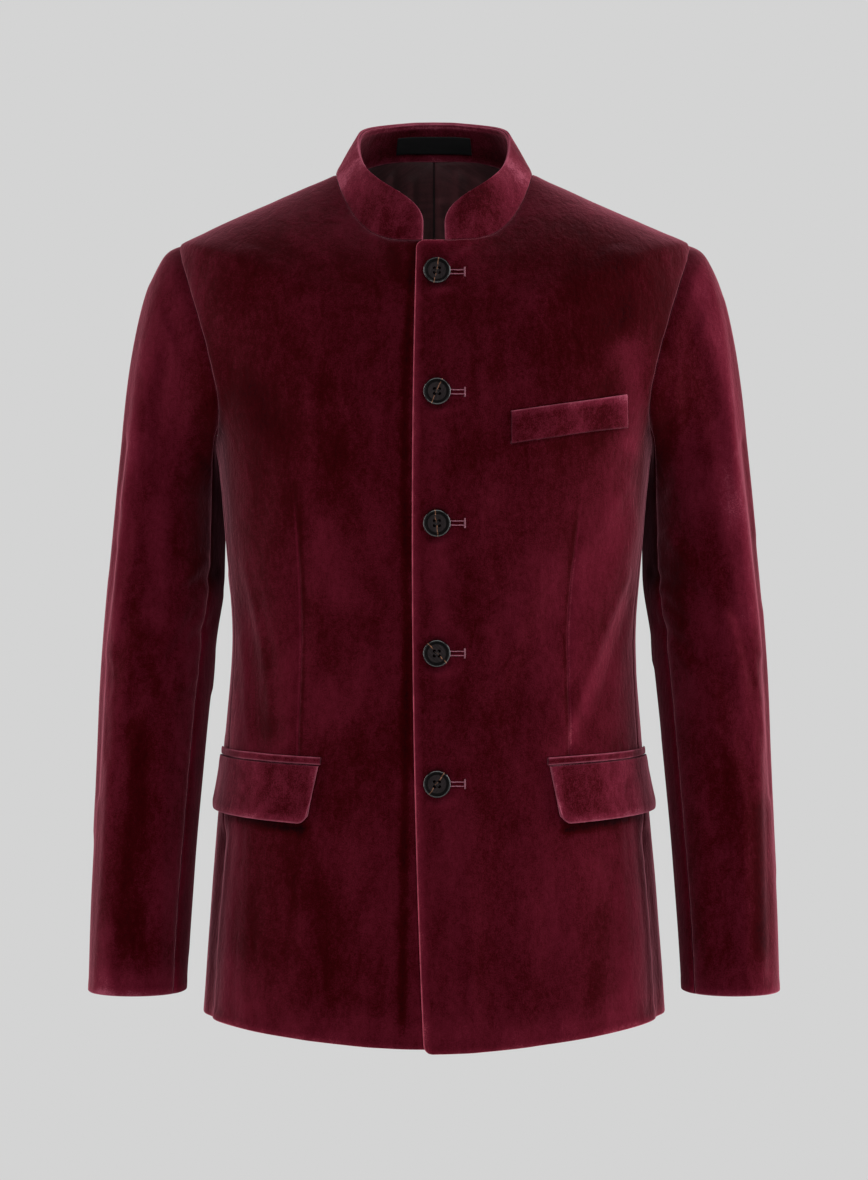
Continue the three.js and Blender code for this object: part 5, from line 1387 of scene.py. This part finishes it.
def grown(guide, tree, **values):
    """The plain mesh that a geometry tree grows on a guide; the guide is removed."""
    modifier = guide.modifiers.new("grow", "NODES")
    modifier.node_group = tree
    for socket in tree.interface.items_tree:
        if socket.in_out == "INPUT" and socket.name.replace(" ", "_") in values:
            modifier[socket.identifier] = values[socket.name.replace(" ", "_")]
    mesh, name = evaluated_mesh(guide), guide.name
    bpy.data.objects.remove(guide)
    mesh.name = name
    piece = bpy.data.objects.new(name, mesh)
    scene.collection.objects.link(piece)
    for polygon in mesh.polygons:
        polygon.use_smooth = True
    print(name, "has", len(mesh.polygons), "faces")
    return piece

# %% [markdown]
# ## Buttons
# Five horn buttons close the front. A button like this is turned on a lathe: a flat dish, a raised
# rounded rim, and four drilled holes. We turn the same profile round the axis with plain mesh
# code, drill the holes with a Boolean modifier and apply it. The mesh then moves to its seat on
# the coat: an origin on the cloth with one axis out of it and one along the buttonhole.

# %% Seats and the turned button
BUTTON_SEAT, BUTTON_THICK, BUTTON_DISH = 2.5, 3.8, 1.5
HOLE_SPREAD, HOLE_RADIUS, THREAD_REACH = 2, 1.25, 1.6
VEIN_TURNS = (79, 66, 97, -46, 54)  # degrees, the pale vein of each button
BUTTON_PROFILE = [
    (0, 0), (4, 0), (7.6, 0.06), (9.6, 0.45), (10.6, 0.95), (11.15, 1.5), (11.42, 2.0), (11.5, 2.45),
    (11.45, 2.9), (11.28, 3.3), (10.98, 3.6), (10.6, 3.76), (10.2, 3.8), (9.8, 3.72), (9.45, 3.5),
    (9.2, 3.15), (9.0, 2.75), (8.8, 2.35), (8.5, 2.12), (8.15, 2.1), (7.8, 2.25), (7.45, 2.36), (7, 2.38),
    (6, 2.34), (4, 2.28), (2, 2.25), (0, 2.24),
]


def button_seat(z):
    """Origin and axes, in millimetres, of a button's place on the upper front. On its shank a button
    hangs a little more upright than the cloth behind it."""
    angle, row = front_place(BUTTON_X, z)
    out = surface_normal(body_point, angle, row) + (0, -0.5, 0)
    out = out / np.linalg.norm(out)
    middle = on_body(angle, row, OVERLAP_LIFT)
    up = np.array([0, 0, 1.0]) - out * out[2]
    up = up / np.linalg.norm(up)
    return middle, np.stack([np.cross(up, out), up, out])


def seated(points, seat):
    """Points given along the buttonhole, up and out, moved to a seat."""
    return seat[0] + np.asarray(points, float) @ seat[1]


def drill(piece, cutter):
    modifier = piece.modifiers.new("drill", "BOOLEAN")
    modifier.object, modifier.solver = cutter, "EXACT"
    piece.data = evaluated_mesh(piece)
    bpy.data.objects.remove(cutter)


def turned(name, profile, sides, middle=(0, 0)):
    """A profile of radius and height turned round the axis, closed at both ends on the axis."""
    profile = np.array(profile, float)
    around = np.linspace(0, 2 * np.pi, sides, endpoint=False)
    body = profile[1:-1]
    radius, height = body[:, 0], body[:, 1]
    x, y = np.outer(radius, np.cos(around)), np.outer(radius, np.sin(around))
    ring = np.stack([x, y, np.outer(height, np.ones(sides))], -1)
    points = np.concatenate([ring.reshape(-1, 3), [[0, 0, profile[0, 1]], [0, 0, profile[-1, 1]]]])
    points = points + (*middle, 0)
    number = np.arange(len(body) * sides).reshape(len(body), sides)
    right = np.roll(number, -1, 1)
    walls = np.stack([number[:-1], right[:-1], right[1:], number[1:]], -1).reshape(-1, 4).tolist()
    bottom = [[len(points) - 2, b, a] for a, b in zip(number[0].tolist(), right[0].tolist())]
    top = [[len(points) - 1, a, b] for a, b in zip(number[-1].tolist(), right[-1].tolist())]
    mesh = bpy.data.meshes.new(name)
    mesh.from_pydata((points / 1000).tolist(), [], walls + bottom + top)
    mesh.update()
    piece = bpy.data.objects.new(name, mesh)
    scene.collection.objects.link(piece)
    return piece


print("button seat:", np.round(button_seat(BUTTON_HEIGHTS[0])[0], 1), "mm")

# %% [markdown]
# Horn is clear brown over black, with growth veins through it. One pale vein crosses each button,
# broken and uneven, and goes over the rim too. The pattern reads a UV map laid flat on the button
# face and turned a different way on each. Only the outer roll of the rim is polished: the dish,
# and the rim's slope down to it, are matt from the cutter.

# %% Horn
horn, given, made = new_group(
    "horn_veins",
    [
        ("Body", "NodeSocketColor", (0.011, 0.008, 0.0086, 1)),
        ("Haze", "NodeSocketColor", (0.022, 0.0165, 0.017, 1)),
        ("Vein", "NodeSocketColor", (0.33, 0.15, 0.085, 1)),
    ],
    [("Colour", "NodeSocketColor"), ("Roughness", "NodeSocketFloat"), ("Height", "NodeSocketFloat")],
)
face = put(horn, "ShaderNodeUVMap", {"uv_map": "face"}).outputs[0]
haze = noise(horn, stretched(horn, face, (1, 0.12, 1)), 900.0, 3, 0.4)
bend = times(horn, maths(horn, "SUBTRACT", noise(horn, face, 160.0, 2), 0.5), 0.0022)
aside = put(horn, "ShaderNodeSeparateXYZ", Vector=face).outputs[0]
from_vein = maths(horn, "ABSOLUTE", total(horn, aside, bend))
broken = remap(horn, noise(horn, face, 330.0, 2), 0.36, 0.62)
vein = times(horn, remap(horn, from_vein, 0.00008, 0.0005, 0.85, 0), broken)
tinted = blend_colour(horn, remap(horn, haze, 0.35, 0.75), given["Body"], given["Haze"])
from_axis = kept_value(horn, "out")
# past 7.4 to 8 mm from the axis the horn goes near black: the rim's own dark horn, with painted shade in the
# groove inside the rim
tinted = blend_colour(horn, remap(horn, from_axis, 7.4, 8.0), tinted, (0.0022, 0.0016, 0.0016, 1))
scratch = noise(horn, face, 2600.0, 2)
rough = total(horn, remap(horn, from_axis, 10.1, 10.9, 0.72, 0.12), times(horn, scratch, 0.06))
feed(horn, made, (blend_colour(horn, vein, tinted, given["Vein"]), rough, scratch))

HORN_BUMP = (0.1, 0.00004)
POLISHED_HORN = make_finish("horn_polished", horn, HORN_BUMP, {"Specular_IOR_Level": 0.5})
MATT_HORN = make_finish("horn_matt", horn, HORN_BUMP, {"Specular_IOR_Level": 0.08})
print("horn group:", len(horn.nodes), "nodes")

# %% Make the buttons
POLISHED_FROM = 10.05  # mm from the axis
DRILL = [(0, -1), (HOLE_RADIUS, -1), (HOLE_RADIUS, 2.0), (1.5, 2.3), (1.8, 3), (0, 3)]
for index, (z, vein_turn) in enumerate(zip(BUTTON_HEIGHTS, VEIN_TURNS), 1):
    seat = button_seat(z)
    piece = turned(f"horn_button_{index}", BUTTON_PROFILE, 96)
    for x in (-HOLE_SPREAD, HOLE_SPREAD):
        for y in (-HOLE_SPREAD, HOLE_SPREAD):
            drill(piece, turned("drill", DRILL, 24, (x, y)))
    mesh = piece.data
    flat = np.array([v.co for v in mesh.vertices]) * 1000
    x, y = flat[:, 0], flat[:, 1]
    from_axis = np.hypot(x, y)
    # painted shade: the walls of the drilled holes take the rim's near-black colour
    shaded_hole_wall = (from_axis < 5) * (flat[:, 2] < 2.1)
    set_attribute(mesh, "out", np.where(shaded_hole_wall, BUTTON_PROFILE[7][0], from_axis))
    turn = math.radians(90 - vein_turn)
    across = x * math.cos(turn) - y * math.sin(turn) + 0.4
    onward = x * math.sin(turn) + y * math.cos(turn) + 31 * index
    set_uv(mesh, "face", np.stack([across, onward], -1) / 1000)
    placed = seated(flat + (0, 0, BUTTON_SEAT), seat) / 1000
    mesh.vertices.foreach_set("co", placed.astype(np.float32).ravel())
    mesh.materials.clear()
    mesh.materials.append(POLISHED_HORN)
    mesh.materials.append(MATT_HORN)
    for polygon in mesh.polygons:
        polygon.use_smooth = True
        polygon.material_index = int(from_axis[list(polygon.vertices)].mean() < POLISHED_FROM)
    mesh.update()
    keep(piece, [f"button_{index}"], "horn")
print("buttons made, each with", len(mesh.polygons), "faces")

# %% [markdown]
# ## Sewing thread and worked buttonholes
# The buttons are sewn on through a cross of dark thread with a wound shank below. The
# buttonholes are worked: silk is thrown over both lips of the slit in tight parallel stitches
# and a bar of stitches closes the far end. A second tree lays a real two-ply cord along a line,
# for the cross; the stitch tree, turned across its line and set close, makes the lips and the bar.

# %% The cord tree
cord_tree, given, made = new_geometry_tree("two_ply_cord", [
    ("Width", "NodeSocketFloat", 0.0008),
    ("Turn Length", "NodeSocketFloat", 0.0016),
    ("Thread", "NodeSocketMaterial", None),
])
def vector_maths(tree, operation, a, b):
    """One step of arithmetic on vectors; SCALE takes a number as its second value."""
    node = put(tree, "ShaderNodeVectorMath", {"operation": operation})
    feed(tree, (node.inputs[0], node.inputs["Scale" if operation == "SCALE" else 1]), (a, b))
    return node.outputs[0]


line = evenly_spaced(cord_tree, given["Geometry"], 0.0003)
run = cord_tree.nodes.new("GeometryNodeSplineParameter").outputs["Length"]
phase = times(cord_tree, maths(cord_tree, "DIVIDE", run, given["Turn Length"]), 2 * math.pi)
tangent = cord_tree.nodes.new("GeometryNodeInputTangent").outputs[0]
normal = cord_tree.nodes.new("GeometryNodeInputNormal").outputs[0]
side = vector_maths(cord_tree, "CROSS_PRODUCT", tangent, normal)
joined = cord_tree.nodes.new("GeometryNodeJoinGeometry")
thin = times(cord_tree, given["Width"], 0.29)
ring = put(cord_tree, "GeometryNodeCurvePrimitiveCircle", Resolution=7, Radius=thin).outputs[0]
off_centre = times(cord_tree, given["Width"], 0.22)
for start in (0.0, math.pi):
    turn = total(cord_tree, phase, start)
    offsets = []
    for axis, wave in ((normal, "COSINE"), (side, "SINE")):
        amount = times(cord_tree, maths(cord_tree, wave, turn), off_centre)
        offsets.append(vector_maths(cord_tree, "SCALE", axis, amount))
    offset = vector_maths(cord_tree, "ADD", *offsets)
    ply = put(cord_tree, "GeometryNodeSetPosition", Geometry=line, Offset=offset).outputs[0]
    shape = {"Curve": ply, "Profile_Curve": ring, "Fill_Caps": True}
    tube = put(cord_tree, "GeometryNodeCurveToMesh", **shape).outputs[0]
    cord_tree.links.new(tube, joined.inputs[0])
end_as_thread(cord_tree, joined.outputs[0], given, made)
print("cord tree:", len(cord_tree.nodes), "nodes")

# %% Sew the buttons on
def crossing(sign, height, count=16):
    """One bar of the cross, from hole to hole, arched a little, its ends going down the holes."""
    reach = np.linspace(-1, 1, count)
    arch = height + 0.1 * (1 - reach**2)
    bar = np.stack([reach * THREAD_REACH, sign * reach * THREAD_REACH, arch], -1)
    down = np.array([[0, 0, -2.0]])
    return np.concatenate([bar[:1] + down, bar, bar[-1:] + down])


top = BUTTON_SEAT + BUTTON_THICK - BUTTON_DISH + 0.15
for index, z in enumerate(BUTTON_HEIGHTS, 1):
    seat = button_seat(z)
    lines = []
    for sign in (1, -1):
        bar = crossing(sign, top + 0.25 * (sign > 0))
        lines += [bar + (offset * -sign, offset, 0) for offset in (-0.16, 0.16)]
    wound = np.linspace(0, 7 * 2 * np.pi, 120)
    lines.append(np.stack([1.15 * np.cos(wound), 1.15 * np.sin(wound), np.linspace(-0.4, 2.1, 120)], -1))
    guide = curve_through(f"sewn_thread_{index}", [seated(line, seat) for line in lines])
    piece = grown(guide, cord_tree, Width=0.00034, Turn_Length=0.001, Thread=DARK_THREAD)
    keep(piece, [f"button_thread_{index}"], "sewing_thread")

# %% Work the buttonholes
HOLE_START, HOLE_END, HOLE_LIFT = 4.8, 24.0, 0.75


def lip(y, start, end, wave, count=50):
    x = np.linspace(start, end, count)
    return np.stack([x, y + 0.08 * np.sin(x * 0.9 + wave), np.full(count, HOLE_LIFT)], -1)


def eye(count=40):
    around = np.linspace(np.radians(24), np.radians(336), count)
    return np.stack([4.9 * np.cos(around), 4.9 * np.sin(around), np.full(count, HOLE_LIFT)], -1)


def worked(name, lines, seat, tree, **values):
    """Lines on a button's seat, worked in the buttonhole silk."""
    guide = curve_through(name, [seated(line, seat) for line in lines])
    return grown(guide, tree, Thread=HOLE_SILK, **values)


THROWN = {"Thread_Width": 0.0006, "Slant": 1.57}  # turned across the line
for index, z in enumerate(BUTTON_HEIGHTS, 1):
    seat = button_seat(z)
    end = HOLE_END - 1
    lines = [lip(1.85, HOLE_START, end, index), lip(-1.85, HOLE_START, end, index + 2), eye()]
    close = {"Pitch": 0.00046, "Stitch_Length": 0.0014, "Wander": 0.12, "Seed": index}
    lips = worked(f"worked_hole_{index}", lines, seat, stitches, **THROWN, **close)
    rows = [HOLE_END - 0.6 + dx for dx in (-0.35, 0.35)]
    lines = [np.array([[x, y, HOLE_LIFT + 0.25] for y in np.linspace(-3.9, 3.9, 20)]) for x in rows]
    close = {"Pitch": 0.0005, "Stitch_Length": 0.0016, "Wander": 0.15, "Seed": index + 9}
    bars = worked(f"bar_{index}", lines, seat, stitches, **THROWN, **close)
    lines = [lip(y, HOLE_START, end, index, 30) - (0, 0, 0.2) for y in (-1.7, 1.7)]
    gimps = worked(f"gimp_{index}", lines, seat, cord_tree, Width=0.0009, Turn_Length=0.002)
    parts = [lips, bars, gimps]
    with bpy.context.temp_override(
        active_object=lips, selected_editable_objects=parts, selected_objects=parts
    ):
        bpy.ops.object.join()
    keep(lips, [f"buttonhole_{index}"], "buttonhole_thread")

# %% [markdown]
# ## Floor, backdrop and light
# The jacket hangs in the middle of a plain pale studio. The floor is a large sheet well below the
# hem. Seen by the camera, the floor and the sky are the same flat pale grey, so no horizon cuts
# the picture; to the rest of the scene the floor is a matt surface that gives soft light back.

# %% Stage
PALE = (0.658, 0.658, 0.658, 1)
FLOOR_HALF, FLOOR_Z = 12, -1.25
floor_mesh = bpy.data.meshes.new("studio_floor")
corners = [(FLOOR_HALF * x, FLOOR_HALF * y, FLOOR_Z) for x, y in ((-1, -1), (1, -1), (1, 1), (-1, 1))]
floor_mesh.from_pydata(corners, [], [(0, 1, 2, 3)])
floor = bpy.data.objects.new("studio_floor", floor_mesh)
scene.collection.objects.link(floor)


def seen_apart(tree, lighting, shown):
    """What lights the scene, and for the camera's own rays what is shown instead."""
    seen = tree.nodes.new("ShaderNodeLightPath").outputs["Is Camera Ray"]
    return blend_shaders(tree, seen, lighting, shown)


FLOOR, tree, principled = new_material("floor_paper", Roughness=0.9, Base_Color=PALE)
flat_light = put(tree, "ShaderNodeEmission", Color=PALE, Strength=1.0)
output = next(n for n in tree.nodes if n.type == "OUTPUT_MATERIAL")
tree.links.new(seen_apart(tree, principled, flat_light), output.inputs[0])
floor_mesh.materials.append(FLOOR)

sky = bpy.data.worlds.new("studio_sky")
sky.use_nodes = True
tree = sky.node_tree
tree.nodes.clear()
shown = put(tree, "ShaderNodeBackground", Color=PALE, Strength=1.0)
lighting = put(tree, "ShaderNodeBackground", Color=(0.9, 0.93, 1, 1), Strength=0.05)
put(tree, "ShaderNodeOutputWorld", Surface=seen_apart(tree, lighting, shown))
scene.world = sky
print("stage: floor at", floor_mesh.vertices[0].co.z, "m")

# %% [markdown]
# Velvet is modelled by light that skims it. Two tall soft boxes stand level with the coat, one on
# each side, so that sleeves, folds and seams catch light at their flanks while the chest stays
# deep; the one on the picture's right is brighter. A broad box above and in front lifts the collar
# and shoulders, and a low one gives the skirts the light that a pale floor throws back.

# %% Lights
def soft_box(name, place, aim, size, watts):
    data = bpy.data.lights.new(name, "AREA")
    data.shape, data.energy = "RECTANGLE", watts
    data.size, data.size_y = size
    box = bpy.data.objects.new(name, data)
    box.location = place
    box.rotation_euler = (Vector(aim) - Vector(place)).to_track_quat("-Z", "Y").to_euler()
    scene.collection.objects.link(box)


soft_box("left_box", (-2.2, 0.0, 0.1), (0, 0, -0.35), (1.0, 2.4), 56)
soft_box("right_box", (2.2, 0.0, 0.1), (0, 0, -0.35), (1.0, 2.4), 96)
soft_box("top_box", (0.1, -2.2, 1.9), (0, 0, -0.25), (2.4, 1.4), 56)
soft_box("low_box", (0.0, -1.8, -1.15), (0, 0, -0.45), (2.4, 0.8), 26)

# %% [markdown]
# ## Join the pieces to the frame
# Every piece rides on the jacket's one body and stands for its solid, which is hidden.

# %% Ride and replace
for piece, nodes, slot, cloth_facts in PIECES.values():
    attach(piece, "root")
    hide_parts(*nodes)
    if cloth_facts:
        width, length = cloth_facts["flat"]
print(len(PIECES), "pieces,", sum(len(p[0].data.polygons) for p in PIECES.values()), "faces")
